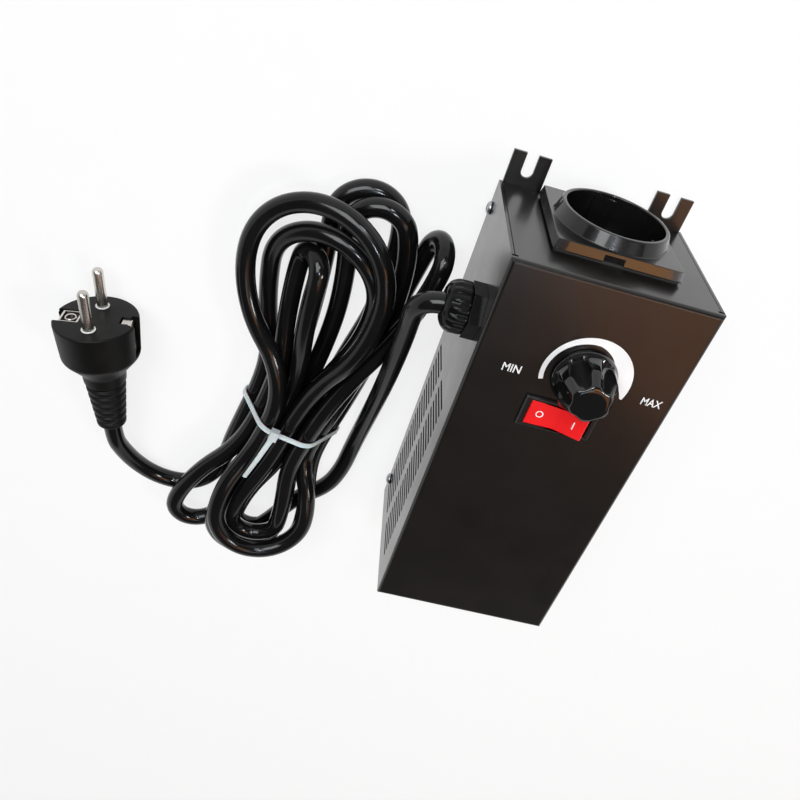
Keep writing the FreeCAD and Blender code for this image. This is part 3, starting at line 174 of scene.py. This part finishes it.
# Case: one folded sheet makes the front, the long sides and the end flaps, over a flat back
# plate with two forked lugs. Both are powder coated black, with a slight orange peel.


def dress(node, material, edge=0):
    """Gives a piece of the frame its finish and, where asked, slightly broken edges."""
    shown = frame["nodes"][node]
    for slot in shown.material_slots:
        slot.material = material
    if edge:
        joined = shown.modifiers.new("joined", "WELD")
        joined.merge_threshold = 0.00001
        plain = shown.modifiers.new("plain", "DECIMATE")
        plain.decimate_type = "DISSOLVE"
        plain.angle_limit = math.radians(1)
        broken = shown.modifiers.new("broken_edge", "BEVEL")
        broken.width = edge
        broken.segments = 2
        broken.limit_method = "ANGLE"
        broken.angle_limit = math.radians(35)
        broken.harden_normals = True


case_paint = finish("case_paint", (0.0065, 0.0052, 0.0045), 0.3, 0.0006, 0.000006, 0.2, 0.02,
                    {"Specular IOR Level": 0.36, "Coat Weight": 0.42, "Coat Roughness": 0.16})
dress("front_cover", case_paint)
dress("back_plate", case_paint, 0.0003)

# Legend: white print on the front, laid down before anything is fitted. It is a crescent that
# widens from MIN to MAX round the knob's hole, and the two words.


def piece(name, mesh, material, body, stands_for=(), stand=None, edge=0, flat=35):
    """Turns a mesh into a finished piece that rides on a body, its edges broken by that width."""
    if stand is not None:
        mesh.transform(stand)
    bmesh.ops.recalc_face_normals(mesh, faces=mesh.faces)
    data = bpy.data.meshes.new(name)
    mesh.to_mesh(data)
    mesh.free()
    data.materials.append(material)
    for polygon in data.polygons:
        polygon.use_smooth = True
    made = bpy.data.objects.new(name, data)
    scene.collection.objects.link(made)
    if edge:
        broken = made.modifiers.new("broken_edge", "BEVEL")
        broken.width = edge
        broken.segments = 3
        broken.limit_method = "ANGLE"
        broken.angle_limit = math.radians(flat)
        broken.harden_normals = True
    else:
        data.set_sharp_from_angle(angle=math.radians(flat))
        level = made.modifiers.new("level_faces", "WEIGHTED_NORMAL")
        level.keep_sharp = True
    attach(made, body)
    if stands_for:
        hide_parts(*stands_for)
    return made


print_white = finish("print_white", (0.83, 0.84, 0.84), 0.5, 0.0004, 0.00001, 0.04)
print_height = 0.07002


def printed(name, mesh, body="case", stand=None):
    """A thin layer of white print that stands for no solid."""
    piece(name, mesh, print_white, body, stand=stand)


crescent = bmesh.new()
crescent_start, crescent_sweep, crescent_steps = 197.8, 215.6, 72
inner_edge = [(197.8, 15.8), (140, 15.4), (90, 14.4), (70, 13.1), (50, 11.8), (17, 11.3),
              (0, 12.6), (-17.8, 16.4)]
bands = []
for number in range(crescent_steps + 1):
    angle = crescent_start - crescent_sweep * number / crescent_steps
    for (high, far), (low, near) in zip(inner_edge, inner_edge[1:]):
        if low <= angle <= high:
            inner = near + (far - near) * (angle - low) / (high - low)
            break
    c, s = math.cos(math.radians(angle)), math.sin(math.radians(angle))
    bands.append([crescent.verts.new((0.0031 + r * c / 1000, 0.0508 + r * s / 1000,
                                     print_height))
                  for r in (inner, 17.5)])
for one, two in zip(bands, bands[1:]):
    crescent.faces.new([one[0], one[1], two[1], two[0]])
printed("dial_crescent", crescent)


def word(text, low, high):
    """Letters fitted between two corners, as a mesh."""
    letters = bpy.data.curves.new("letters", "FONT")
    letters.body = text
    letters.offset = 0.012
    holder = bpy.data.objects.new("letters", letters)
    scene.collection.objects.link(holder)
    bpy.context.view_layer.update()
    solid = holder.evaluated_get(bpy.context.evaluated_depsgraph_get())
    flat = bpy.data.meshes.new_from_object(solid)
    mesh = bmesh.new()
    mesh.from_mesh(flat)
    bpy.data.objects.remove(holder)
    spots = [vert.co.copy() for vert in mesh.verts]
    left, right = min(spot.x for spot in spots), max(spot.x for spot in spots)
    foot, top = min(spot.y for spot in spots), max(spot.y for spot in spots)
    for vert in mesh.verts:
        vert.co = (low[0] + (vert.co.x - left) / (right - left) * (high[0] - low[0]),
                   low[1] + (vert.co.y - foot) / (top - foot) * (high[1] - low[1]),
                   print_height)
    return mesh


printed("word_min", word("MIN", (-0.0281, 0.04525), (-0.021, 0.04875)))
printed("word_max", word("MAX", (0.0272, 0.0458), (0.0353, 0.0491)))

# Outlet: a black moulding with a square flange on a thin gasket, a round collar, and a
# recess with ribs, whose floor has two pin holes and sprung earth clips at its sides.


def block(low, high):
    """A box between its lowest and its highest corner."""
    mesh = bmesh.new()
    corners = [mesh.verts.new((x, y, z)) for z in (low[2], high[2])
               for y in (low[1], high[1]) for x in (low[0], high[0])]
    for face in ((0, 1, 3, 2), (4, 5, 7, 6), (0, 1, 5, 4), (2, 3, 7, 6), (0, 2, 6, 4),
                 (1, 3, 7, 5)):
        mesh.faces.new([corners[number] for number in face])
    return mesh


def merge(mesh, *others):
    """Adds the faces of other meshes to a mesh."""
    for other in others:
        passing = bpy.data.meshes.new("passing")
        other.to_mesh(passing)
        other.free()
        mesh.from_mesh(passing)
        bpy.data.meshes.remove(passing)
    return mesh


def eased(points, radius, cuts=3):
    """A line of points with its inner corners rounded."""
    eased_line = [points[0]]
    for before, at, after in zip(points, points[1:], points[2:]):
        before, at, after = Vector(before), Vector(at), Vector(after)
        reach = min(radius, (before - at).length / 2.01, (after - at).length / 2.01)
        first = at + (before - at).normalized() * reach
        last = at + (after - at).normalized() * reach
        for cut in range(cuts + 1):
            t = cut / cuts
            eased_line.append(tuple(first * (1 - t) ** 2 + at * (2 * t * (1 - t)) + last * t ** 2))
    return eased_line + [points[-1]]


def turned(profile, steps=64, shape=None):
    """A mesh turned round Z through (radius, height) points; shape may push a point in or out."""
    mesh = bmesh.new()
    rings = []
    for radius, height in profile:
        if radius < 1e-7:
            rings.append([mesh.verts.new((0, 0, height))])
            continue
        ring = []
        for step in range(steps):
            angle = math.tau * step / steps
            reach = shape(angle, radius, height) if shape else radius
            ring.append(mesh.verts.new((reach * math.cos(angle), reach * math.sin(angle), height)))
        rings.append(ring)
    for low, high in zip(rings, rings[1:]):
        for step in range(steps):
            after = (step + 1) % steps
            face = [low[step % len(low)], low[after % len(low)], high[after % len(high)],
                    high[step % len(high)]]
            mesh.faces.new(list(dict.fromkeys(face)))
    return mesh


def carve(mesh, *cutters):
    """Cuts other meshes out of a mesh."""
    held = []
    for part in (mesh, *cutters):
        bmesh.ops.recalc_face_normals(part, faces=part.faces)
        data = bpy.data.meshes.new("carved")
        part.to_mesh(data)
        part.free()
        held.append(bpy.data.objects.new("carved", data))
        scene.collection.objects.link(held[-1])
    for tool in held[1:]:
        hole = held[0].modifiers.new("hole", "BOOLEAN")
        hole.object = tool
        hole.solver = "EXACT"
    bpy.context.view_layer.update()
    done = held[0].evaluated_get(bpy.context.evaluated_depsgraph_get())
    carved = bmesh.new()
    carved.from_mesh(bpy.data.meshes.new_from_object(done))
    for each in held:
        bpy.data.objects.remove(each)
    return carved


towards_y = Matrix.Rotation(-math.pi / 2, 4, "X")
outlet_plastic = finish("outlet_plastic", (0.005, 0.0046, 0.0046), 0.24, 0.0007, 0.00001, 0.2,
                        sockets={"Specular IOR Level": 0.28, "Coat Weight": 0.5,
                                 "Coat Roughness": 0.06})
insert_plastic = finish("insert_plastic", (0.007, 0.007, 0.0075), 0.35, 0.0006, 0.00002, 0.2)
brass = finish("contact_brass", (0.72, 0.53, 0.24), 0.28, 0.0007, 0.00001, 0.12, 0.08,
               {"Metallic": 1.0})
nickel = finish("nickel_plate", (0.62, 0.59, 0.55), 0.26, 0.0009, 0.00001, 0.12, 0.08,
                {"Metallic": 1.0})
gasket_rubber = finish("gasket_rubber", (0.014, 0.014, 0.014), 0.7, 0.0005, 0.00004, 0.2)
flange_half, flange_foot, flange_top, rim = 0.025, 0.09, 0.094, 0.0992
outlet_bore = 0.01975


def squared(angle, radius, height):
    """The flange is square with rounded corners; what lies inside its edge is round."""
    if radius < 0.0235:
        return radius
    c, s = abs(math.cos(angle)), abs(math.sin(angle))
    corner = 0.0009
    flat = radius / max(c, s)
    heart = radius - corner
    along = heart * (c + s)
    under = along * along - 2 * heart * heart + corner * corner
    if flat * min(c, s) > heart and under > 0:
        return along + math.sqrt(under)
    return flat


outlet_line = eased([(outlet_bore, 0.0755), (outlet_bore, rim), (0.02135, rim),
                     (0.0230, flange_top), (0.0239, flange_top), (flange_half - 0.0007, flange_top),
                     (flange_half, flange_foot + 0.0003), (flange_half, flange_foot),
                     (0.0236, flange_foot), (0.02155, flange_foot), (0.02155, 0.0739),
                     (0.0182, 0.0739), (0.0182, 0.0755), (outlet_bore, 0.0755)], 0.0005)
notches = []
for side in (-1, 1):
    low, high = sorted((side * 0.0232, side * 0.027))
    notches.append(block((-0.006, low, 0.089), (0.002, high, 0.0928)))
ribs = []
for side in (-1, 1):
    low, high = sorted((side * 0.01855, side * 0.0201))
    ribs.append(block((-0.0045, low, 0.0818), (0.0045, high, 0.0972)))
outlet_stand = Matrix.Translation((0.001, 0, 0.0297)) @ towards_y
outlet_shell = merge(carve(turned(outlet_line, 96, squared), *notches), *ribs)
piece("outlet_shell", outlet_shell, outlet_plastic, "case", ["outlet_housing"],
      outlet_stand, flat=35)
dress("outlet_gasket", gasket_rubber)
dress("outlet_insert", insert_plastic)
dress("outlet_contacts", brass)
dress("outlet_earth_clips", nickel)

# Rocker switch: a black bezelled body snapped into the panel, and a glossy red rocker on two
# pivots with its off and on marks moulded in white.


def strip(line, low, high):
    """A sheet outlined in X and Z, from one Y to the other."""
    mesh = bmesh.new()
    sides = [[mesh.verts.new((x, y, z)) for x, z in line] for y in (low, high)]
    for one in range(len(line)):
        two = (one + 1) % len(line)
        mesh.faces.new([sides[0][one], sides[0][two], sides[1][two], sides[1][one]])
    mesh.faces.new(sides[0])
    mesh.faces.new(sides[1])
    return mesh


switch_plastic = finish("switch_plastic", (0.006, 0.006, 0.0065), 0.28, 0.0006, 0.00002, 0.2)
rocker_plastic = finish("rocker_plastic", (0.78, 0.012, 0.014), 0.22, 0.0007, 0.00001, 0.06, 0.04,
                        {"Coat Weight": 0.2, "Coat Roughness": 0.1})
dress("switch_body", switch_plastic, 0.0003)
dress("switch_blades", brass)
half, end, dip = 0.0116, 0.0059, 0.004
right_side = [(half, end), (half + 0.0001, end - 0.0016), (half - 0.0005, end - 0.0044),
              (half - 0.0046, end - 0.0084), (0.003, end - 0.0112)]
rocker_line = [(0, end - 0.0112), *reversed(right_side), (0, dip),
               *[(-x, z) for x, z in right_side], (0, end - 0.0112)]
rocker_line = eased(rocker_line, 0.0009, 5)[:-1]
rocker_stand = (Matrix.Translation((0, 0.031, 0.0675))
                @ Matrix.Rotation(math.radians(-9), 4, "Y"))
pivots = turned([(0, -0.0061), (0.0012, -0.0061), (0.0012, 0.0061), (0, 0.0061)], 24)
pivots.transform(towards_y)
piece("rocker_button", merge(strip(rocker_line, -0.00535, 0.00535), pivots), rocker_plastic,
      "rocker", ["rocker"], rocker_stand, 0.0004, 60)
slope = math.atan2(end - dip, half)
ring_mark = turned([(0.0011, 0), (0.00152, 0)], 40)
ring_mark.transform(Matrix.Translation((-0.0068, 0, dip + 0.0068 * math.tan(slope) + 0.00003))
                    @ Matrix.Rotation(slope, 4, "Y"))
bar = bmesh.new()
bar.faces.new([bar.verts.new(spot) for spot in ((-0.00022, -0.00175, 0), (0.00022, -0.00175, 0),
                                               (0.00022, 0.00175, 0), (-0.00022, 0.00175, 0))])
bar.transform(Matrix.Translation((0.0068, 0, dip + 0.0068 * math.tan(slope) + 0.00003))
              @ Matrix.Rotation(-slope, 4, "Y"))
printed("rocker_marks", merge(ring_mark, bar), "rocker", rocker_stand)

# Control: a tinned can behind the panel, whose threaded bushing comes through and is held by
# a washer and a nut under the knob.
control_metal = finish("control_metal", (0.5, 0.5, 0.5), 0.35, 0.0006, 0.00001, 0.15, 0.08,
                       {"Metallic": 1.0})
dress("control_body", control_metal)
for node in ("control_shaft", "control_washer", "control_nut"):
    dress(node, nickel)

# Knob: a glossy black moulding with a thin skirt. Its grip has six hollows that lean in
# towards a flat crown, and every edge between them is rounded.
knob_plastic = finish("knob_plastic", (0.004, 0.004, 0.0045), 0.08, 0.0012, 0.00001, 0.2, 0.03,
                      {"Coat Weight": 0.3, "Coat Roughness": 0.05})


def hollowed(angle, radius, height):
    """The grip's radius, drawn in smoothly by the nearest of the six hollows."""
    if height < 0.003:
        return radius
    turn = (angle - math.radians(66.6)) % (math.pi / 3)
    turn = min(turn, math.pi / 3 - turn)
    hollow, lean, soft_edge = 0.0052, math.radians(14.5), 0.0009
    centre = 0.0159 - (height - 0.0016) * math.tan(lean)
    under = hollow ** 2 - (centre * math.sin(turn)) ** 2
    dip = centre * math.cos(turn) - math.sqrt(under) if under > 0 else centre * math.cos(turn)
    blend = max(soft_edge - abs(radius - dip), 0) / soft_edge
    return min(radius, dip) - blend * blend * soft_edge / 4


knob_line = eased([(0.0124, 0), (0.0124, 0.0011), (0.0116, 0.0031), (0.0114, 0.0044)], 0.0009, 4)
knob_line += [(0.0114 - 0.0003 * step / 6, 0.0044 + 0.0048 * step / 6) for step in range(1, 6)]
knob_line += eased([(0.0111, 0.0092), (0.0109, 0.0104), (0.0077, 0.0165), (0.0062, 0.0169),
                    (0.0045, 0.0169)], 0.0022, 8)
knob_line += [(0.003, 0.01688), (0.0015, 0.01686), (0, 0.01685)]
knob_line = [(0.0031, 0.003), (0.0066, 0.003), (0.0066, 0)] + knob_line
knob_stand = Matrix.Translation((0.0023, 0.0508, 0.0706))
piece("knob_cap", turned(knob_line, 144, hollowed), knob_plastic, "knob", ["knob"],
      knob_stand, flat=50)

# Circuit board: green laminate inside the case. Screws hold it on brass standoffs that are
# pressed into the back plate.
board_green = finish("board_green", (0.035, 0.17, 0.055), 0.35, 0.0006, 0.00001, 0.15)
screw_steel = finish("screw_steel", (0.42, 0.43, 0.45), 0.35, 0.0004, 0.00001, 0.1, 0.08,
                     {"Metallic": 1.0})
dress("circuit_board", board_green)
dress("board_standoffs", brass)
dress("board_screws", screw_steel)

# What the board carries: an extruded heat sink with the switching chip, a wound choke, film
# capacitors, a glass fuse in its clips and the terminal block.
dress("heat_sink", finish("sink_aluminium", (0.6, 0.6, 0.62), 0.38, 0.0009, 0.00002, 0.08, 0.08,
                          {"Metallic": 1.0}))
dress("triac", finish("chip_black", (0.02, 0.02, 0.02), 0.5, 0.0004, 0.00002))
dress("choke_coil", finish("copper_wire", (0.62, 0.26, 0.1), 0.3, 0.0004, 0.00002, 0.15, 0.08,
                           {"Metallic": 0.8}))
dress("capacitors", finish("capacitor_film", (0.6, 0.32, 0.03), 0.25, 0.0008, 0.00001))
dress("fuse_clips", brass)
dress("fuse", finish("fuse_glass", (0.85, 0.88, 0.88), 0.06, 0.002, 0.00001, 0.02, 0.02,
                     {"Transmission Weight": 0.7}))
dress("terminal_block", finish("terminal_plastic", (0.07, 0.24, 0.09), 0.4, 0.0006, 0.00002))

# Cable gland: a black nylon hexagon body through the side wall, with a lock nut inside. Its
# ribbed domed nut presses a rubber seal round the lead.
gland_plastic = finish("gland_plastic", (0.004, 0.004, 0.0042), 0.14, 0.0007, 0.00001, 0.2,
                       sockets={"Specular IOR Level": 0.16})


def ribbed(angle, radius, height):
    """Sixteen grip ribs that fade out over the crown."""
    crown, rib_depth = 0.0088, 0.0006
    if radius < crown:
        return radius
    wave = (0.5 + 0.5 * math.cos(16 * angle)) ** 0.6
    return radius - rib_depth * (1 - wave) * min(1, (radius - crown) / 0.001)


dome_line = eased([(0.00645, -0.0005), (0.00645, 0), (0.0103, 0), (0.0103, 0.0056),
                   (0.0090, 0.0080), (0.0064, 0.0095), (0.00475, 0.0095), (0.00475, 0.0045)],
                  0.0012, 4)
gland_stand = (Matrix.Translation((-0.045, 0.0573, 0.054))
               @ Matrix.Rotation(-math.pi / 2, 4, "Y"))
piece("gland_cap", turned(dome_line, 128, ribbed), gland_plastic, "case", ["gland_dome"],
      gland_stand, flat=45)
dress("gland_body", gland_plastic, 0.0003)
dress("gland_locknut", gland_plastic)
dress("gland_seal", gasket_rubber)

# Cover screws: four zinc plated pan heads with a cross recess, two in each long side. They
# close the case, and bite into the back plate's bent tabs.
screws = []
for side in (-1, 1):
    for y in (0.078, -0.077):
        screw = turned(eased([(0, -0.006), (0.00145, -0.006), (0.00145, 0), (0.0028, 0),
                              (0.0027, 0.0011), (0.0018, 0.0017), (0, 0.0019)], 0.0006), 32)
        screw = carve(screw, *[block((-wide, -deep, 0.0007), (wide, deep, 0.003))
                               for wide, deep in ((0.0017, 0.0003), (0.0003, 0.0017))])
        screw.transform(Matrix.Translation((side * 0.04, y, 0.004))
                        @ Matrix.Rotation(side * math.pi / 2, 4, "Y")
                        @ Matrix.Rotation(0.5 + y * 9, 4, "Z"))
        screws.append(screw)
piece("cover_screws_pan", merge(*screws), screw_steel, "case", ["cover_screws"],
      flat=40)

# Mains lead: 2.8 m of round black cord with a soft glossy sheath. It comes straight out of
# the gland, drops beside the case, is wound into a hank of twelve loops that the tie holds
# at its waist, and ends in the plug's strain relief.
LEAD = [(-0.0485, 0.0573, 0.054), (-0.057, 0.0573, 0.054), (-0.0628, 0.052, 0.0509),
        (-0.063, 0.0443, 0.0469), (-0.0622, 0.0335, 0.0418), (-0.0616, 0.0175, 0.035),
        (-0.0614, -0.005, 0.0252), (-0.0618, -0.026, 0.0155), (-0.0628, -0.046, 0.008),
        (-0.064, -0.061, 0.0045), (-0.0655, -0.077, 0.0044), (-0.0705, -0.092, 0.0044)]
TAIL = [(-0.1224, -0.072, 0.0047), (-0.1241, -0.0855, 0.0044), (-0.1268, -0.097, 0.0044),
        (-0.1329, -0.106, 0.0044), (-0.1412, -0.1108, 0.0044), (-0.1508, -0.1112, 0.0049),
        (-0.1602, -0.1068, 0.007), (-0.1682, -0.0984, 0.0105), (-0.174, -0.0886, 0.014)]
# A loop of the hank: middle, radius, heading of its far point clockwise from +Y, its rise
# across and outwards, the side it is entered from, and where its way back crosses the waist:
# offset across, height, heading and slope.
WAIST = Vector((-0.098, -0.0487, 0))
WAIST_LEAN = 12
WAIST_HALF = 0.005
LOOPS = [
    ((-0.1047, -0.1215, 0.0044), 0.010, 208, 0, 0, 1, (0, 0.0053, 12, 0)),
    ((-0.0815, 0.057, 0.013), 0.0125, -12, 8, 2, 1, (0.0148, 0.0133, 16, 0)),
    ((-0.1, -0.0985, 0.0285), 0.022, 181, 8, 8, 1, (-0.0096, 0.0214, 11, 4)),
    ((-0.1025, 0.0365, 0.023), 0.031, 0, 18, -1, 1, (0, 0.0214, 12, 0)),
    ((-0.1025, -0.106, 0.0245), 0.0115, 182, 4, -9, -1, (0.0096, 0.0214, 14, 0)),
    ((-0.057, 0.052, 0.0145), 0.010, 12, 74, 7, -1, (0.0198, 0.0053, 14, -2)),
    ((-0.101, -0.115, 0.017), 0.0225, 182, 8, -5, 1, (-0.0046, 0.0133, 10, 0)),
    ((-0.1055, 0.0355, 0.017), 0.0085, 2, 57, -2, -1, (-0.0146, 0.0133, 12, -2)),
    ((-0.133, -0.1155, 0.0125), 0.0115, 198, 13, 3, -1, (-0.0094, 0.0053, 12, -1)),
    ((-0.087, 0.0575, 0.0055), 0.0145, -4, 0, -4, 1, (0.0096, 0.0053, 10, 1)),
    ((-0.102, -0.117, 0.0145), 0.011, 186, 2, 1, 1, (0.0048, 0.0133, 9, 0)),
    ((-0.0985, 0.0305, 0.015), 0.0245, 2, 17, 13, -1, (-0.0196, 0.0053, 11, -1)),
]
FIRST_RUN, LAST_RUN = 0.0248, 0.0102
cord_radius = 0.00425


def aim(heading, slope):
    """A direction from its heading clockwise from +Y and its slope, both in degrees."""
    turn = math.radians(heading)
    return Vector((math.sin(turn), math.cos(turn), math.tan(math.radians(slope)))).normalized()


def sweep(start, way, end, count):
    """Points outside an even bend that leaves start along way and arrives at end."""
    chord = end - start
    half = way.angle(chord)
    inward = (chord - way * chord.dot(way)).normalized()
    radius = chord.length / (2 * math.sin(half))
    middle = start + inward * radius
    step = 2 * half / count
    spots = []
    for number in range(count):
        angle = (number + 0.5) * step
        spots.append(middle + (way * math.sin(angle) - inward * math.cos(angle))
                     * (radius / math.cos(step / 2)))
    return spots


def leg(start, out, end, into):
    """Points of a leg between a loop and the waist: two even bends that meet halfway."""
    gap, both = end - start, out + into
    rest = 2 * (1 - out.dot(into))
    reach = (math.sqrt(gap.dot(both) ** 2 + rest * gap.dot(gap)) - gap.dot(both)) / rest
    first, second = start + out * reach, end - into * reach
    meet = (first + second) / 2
    return sweep(start, out, meet, 2) + sweep(meet, (second - first).normalized(), end, 2)


def hank_points():
    """The hank's turns: six points round each loop and four down each leg."""
    across = aim(90 + WAIST_LEAN, 0)
    points, here, heading, up = [], None, None, True
    for middle, radius, far, rise_across, rise_out, side, waist in LOOPS:
        middle = Vector(middle)
        right, out = aim(90 + far, rise_across), aim(far, rise_out)
        out = (out - right * out.dot(right)).normalized()
        enter, leave = middle - right * (radius * side), middle + right * (radius * side)
        if here is None:
            points.append(enter - out * FIRST_RUN)
        else:
            points += leg(here, heading, enter, out)
        for number in range(6):
            angle = math.pi * (number + 0.5) / 6
            wide = radius / math.cos(math.pi / 12)
            points.append(middle - right * (side * wide * math.cos(angle))
                          + out * (wide * math.sin(angle)))
        offset, height, turn, slope = waist
        crossing = WAIST + across * offset + Vector((0, 0, height))
        way = aim(turn, slope) * (1 if up else -1)
        points += leg(leave, -out, crossing - way * WAIST_HALF, way)
        here, heading, up = crossing + way * WAIST_HALF, way, not up
    return points + [here + heading * LAST_RUN]


plug_stand = (Matrix.Translation((-0.1894, -0.0126, 0.0192))
              @ Matrix.Rotation(math.radians(10.2), 4, "Z")
              @ Matrix.Rotation(math.radians(2.2), 4, "X"))
boot_end = plug_stand @ Vector((0, -0.059, 0))
boot_way = plug_stand.to_3x3() @ Vector((0, 1, 0))
route = [Vector(point) for point in LEAD] + hank_points() + [Vector(point) for point in TAIL]
route += [boot_end - boot_way * LAST_RUN, boot_end]

cord_line = bpy.data.curves.new("mains_lead", "CURVE")
cord_line.dimensions = "3D"
line = cord_line.splines.new("NURBS")
line.points.add(len(route) - 1)
for spot, point in zip(line.points, route):
    spot.co = (*point, 1)
line.order_u = 3
line.use_endpoint_u = True
line.resolution_u = 6
cord_line.bevel_depth = cord_radius
cord_line.bevel_resolution = 6
cord_line.use_fill_caps = True
cord_sheath = finish("cord_sheath", (0.0045, 0.0045, 0.0048), 0.17, 0.0011, 0.00001, 0.25, 0.05,
                     {"Specular IOR Level": 0.26, "Coat Weight": 0.18, "Coat Roughness": 0.08})
cord_line.materials.append(cord_sheath)
mains_lead = bpy.data.objects.new("mains_lead", cord_line)
scene.collection.objects.link(mains_lead)
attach(mains_lead, "case")
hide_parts("cord_lead", "cord_hank", "cord_tail")

# Plug: an earthed plug moulded in black rubber. Its round grip tapers to a ribbed strain
# relief, two nickel pins stand one above the other in white rings, and a sprung earth plate
# lies in a recess on each side.
plug_turn = plug_stand @ towards_y
plug_rubber = finish("plug_rubber", (0.0036, 0.0036, 0.0033), 0.42, 0.0005, 0.00003, 0.3, 0.08,
                     {"Specular IOR Level": 0.16})


def grip(angle, radius, height):
    """The grip is round with two flatter sides, where the earth plates lie."""
    flat = 0.0178 / max(1e-6, abs(math.cos(angle)))
    return min(radius, flat) if height > -0.019 else radius


body_line = eased([(0, 0), (0.0183, 0), (0.0172, -0.0182), (0.0098, -0.0275), (0.0094, -0.0335),
                   (0, -0.0338)], 0.0012)
recesses = []
for side in (-1, 1):
    tongue, half = (0.0064, 0.0047) if side < 0 else (0.0106, 0.0026)
    for deep, low, wide in ((0.0146, -0.017, 0.0039), (tongue, -0.0016, half)):
        near, far = sorted((side * deep, side * 0.02))
        recesses.append(block((near, -wide, low), (far, wide, 0.001)))
plug_body = piece("plug_grip", carve(turned(body_line, 96, grip), *recesses), plug_rubber,
                  "case", ["plug_body"], plug_turn, flat=30)

boot_line = [(0.0046, -0.033), (0.0088, -0.033)]
boot_ribs, rib_pitch = 6, 0.0041
for number in range(boot_ribs):
    rib = 0.0089 - 0.002 * number / (boot_ribs - 1)
    top = -0.0342 - rib_pitch * number
    boot_line += [(rib - 0.0009, top), (rib - 0.0009, top - 0.001), (rib, top - 0.0014),
                  (rib - 0.0002, top - 0.0038)]
boot_line += [(0.0056, -0.059), (0.0043, -0.059), (0.0043, -0.056)]
plug_boot = piece("plug_strain_relief", turned(eased(boot_line, 0.0005, 2), 48), plug_rubber,
                  "case", ["plug_boot"], plug_turn, flat=60)

ring_plastic = finish("ring_plastic", (0.82, 0.82, 0.79), 0.4, 0.0006, 0.00001, 0.05)
pin_line = eased([(0, -0.012), (0.002, -0.012), (0.002, 0.0006), (0.0024, 0.001),
                  (0.0024, 0.0177), (0.0016, 0.019), (0, 0.019)], 0.0006, 4)
ring_line = eased([(0.0021, 0), (0.0031, 0), (0.0031, 0.0006), (0.0025, 0.0007),
                   (0.0021, 0.0004)], 0.0003)
pins, rings = [], []
for side in (-1, 1):
    shift = Matrix.Translation((0, -side * 0.0095, 0))
    for made, shape in ((pins, turned(pin_line, 40)), (rings, turned(ring_line, 40))):
        shape.transform(shift)
        made.append(shape)
plug_pins = piece("plug_pins_bright", merge(*pins), nickel, "case", ["plug_pins"],
                  plug_turn, flat=50)
plug_rings = piece("plug_pin_rings", merge(*rings), ring_plastic, "case", ["plug_rings"],
                   plug_turn, flat=60)

plates = []
for side, tongue, half in ((-1, 0.0068, 0.0033), (1, 0.011, 0.0022)):
    bent = eased([(tongue, -0.0015), (0.0147, -0.0015), (0.0147, -0.0165), (0.0154, -0.0165),
                  (0.0154, -0.0008), (tongue, -0.0008), (tongue, -0.0015)], 0.0004, 4)[:-1]
    plates.append(strip([(side * x, z) for x, z in bent], -half, half))
tray = block((-0.0151, -0.0044, -0.0014), (-0.0067, 0.0044, -0.0005))
tray = carve(tray, block((-0.0143, -0.0036, -0.002), (-0.0075, 0.0036, 0.001)))
plates[0] = carve(plates[0], block((-0.0143, -0.0036, -0.002), (-0.0075, 0.0036, 0.001)))
ring = turned([(0.0019, -0.0015), (0.0026, -0.0015), (0.0026, -0.0008), (0.0023, -0.0005),
               (0.0019, -0.0008), (0.0019, -0.0015)], 32)
ring.transform(Matrix.Translation((-0.0109, 0, 0)))
plates += [tray, ring]
plug_plates = piece("plug_earth_plates", merge(*plates), nickel, "case",
                    ["plug_earth_contacts"], plug_turn, flat=40)

# Cable tie: a 2.8 mm strap of natural nylon drawn tight round the hank's waist. Its small
# square head sits on top, and the spare end lies along the upper loops.
tie_nylon = finish("tie_nylon", (0.62, 0.68, 0.69), 0.35, 0.0006, 0.00002, 0.06, 0.08,
                   {"Subsurface Weight": 0.3, "Subsurface Scale": 0.002})
tie_stand = Matrix.Translation(WAIST) @ Matrix.Rotation(-math.radians(WAIST_LEAN), 4, "Z") \
    @ Matrix.Translation((0, 0.0015, 0))
bundle = [(Vector((side * x, y)), reach) for side in (-1, 1)
          for x, y, reach in ((0.0198, 0.0053, 0.00456), (0.0065, 0.0182, 0.009))]
strap = bmesh.new()
strap_steps = 72
ribs = []
for number in range(strap_steps):
    turn = math.tau * number / strap_steps
    way = Vector((math.cos(turn), math.sin(turn)))
    spot, reach = max(bundle, key=lambda strand: strand[0].dot(way) + strand[1])
    inner = spot + way * reach
    outer, lip = inner + way * 0.0007, inner + way * 0.0004
    ribs.append([strap.verts.new((a.x, y, max(a.y, 0.0001))) for a, y in (
        (inner, -0.0013), (outer, -0.0013), (outer, -0.0008), (lip, -0.0006), (lip, 0.0006),
        (outer, 0.0008), (outer, 0.0013), (inner, 0.0013))])
for one, two in zip(ribs, ribs[1:] + ribs[:1]):
    for number in range(8):
        after = (number + 1) % 8
        strap.faces.new([one[number], one[after], two[after], two[number]])
head = block((-0.0075, -0.0026, 0.0266), (-0.0035, 0.0026, 0.0303))
spare = bmesh.new()
spare_length, spare_lean, spare_steps = 0.028, math.radians(6), 14
rows = []
for number in range(spare_steps + 1):
    along = number / spare_steps
    half = 0.00135 - 0.00035 * along
    rise = 0.0018 * along + 0.0008 * math.sin(math.pi * along)
    side = -0.0055 - spare_length * along * math.sin(spare_lean)
    y = -0.0012 - spare_length * along
    rows.append([spare.verts.new((side + a, y, 0.0278 + rise + b)) for a, b in (
        (-half, 0), (-half, 0.0009), (-half + 0.0004, 0.0011), (half - 0.0004, 0.0011),
        (half, 0.0009), (half, 0))])
for one, two in zip(rows, rows[1:]):
    for number in range(6):
        after = (number + 1) % 6
        spare.faces.new([one[number], one[after], two[after], two[number]])
spare.faces.new(rows[0])
spare.faces.new(rows[-1])
cable_tie = piece("tie_strap", merge(strap, head, spare), tie_nylon, "case", ["cable_tie"],
                  tie_stand, 0.00015, 50)
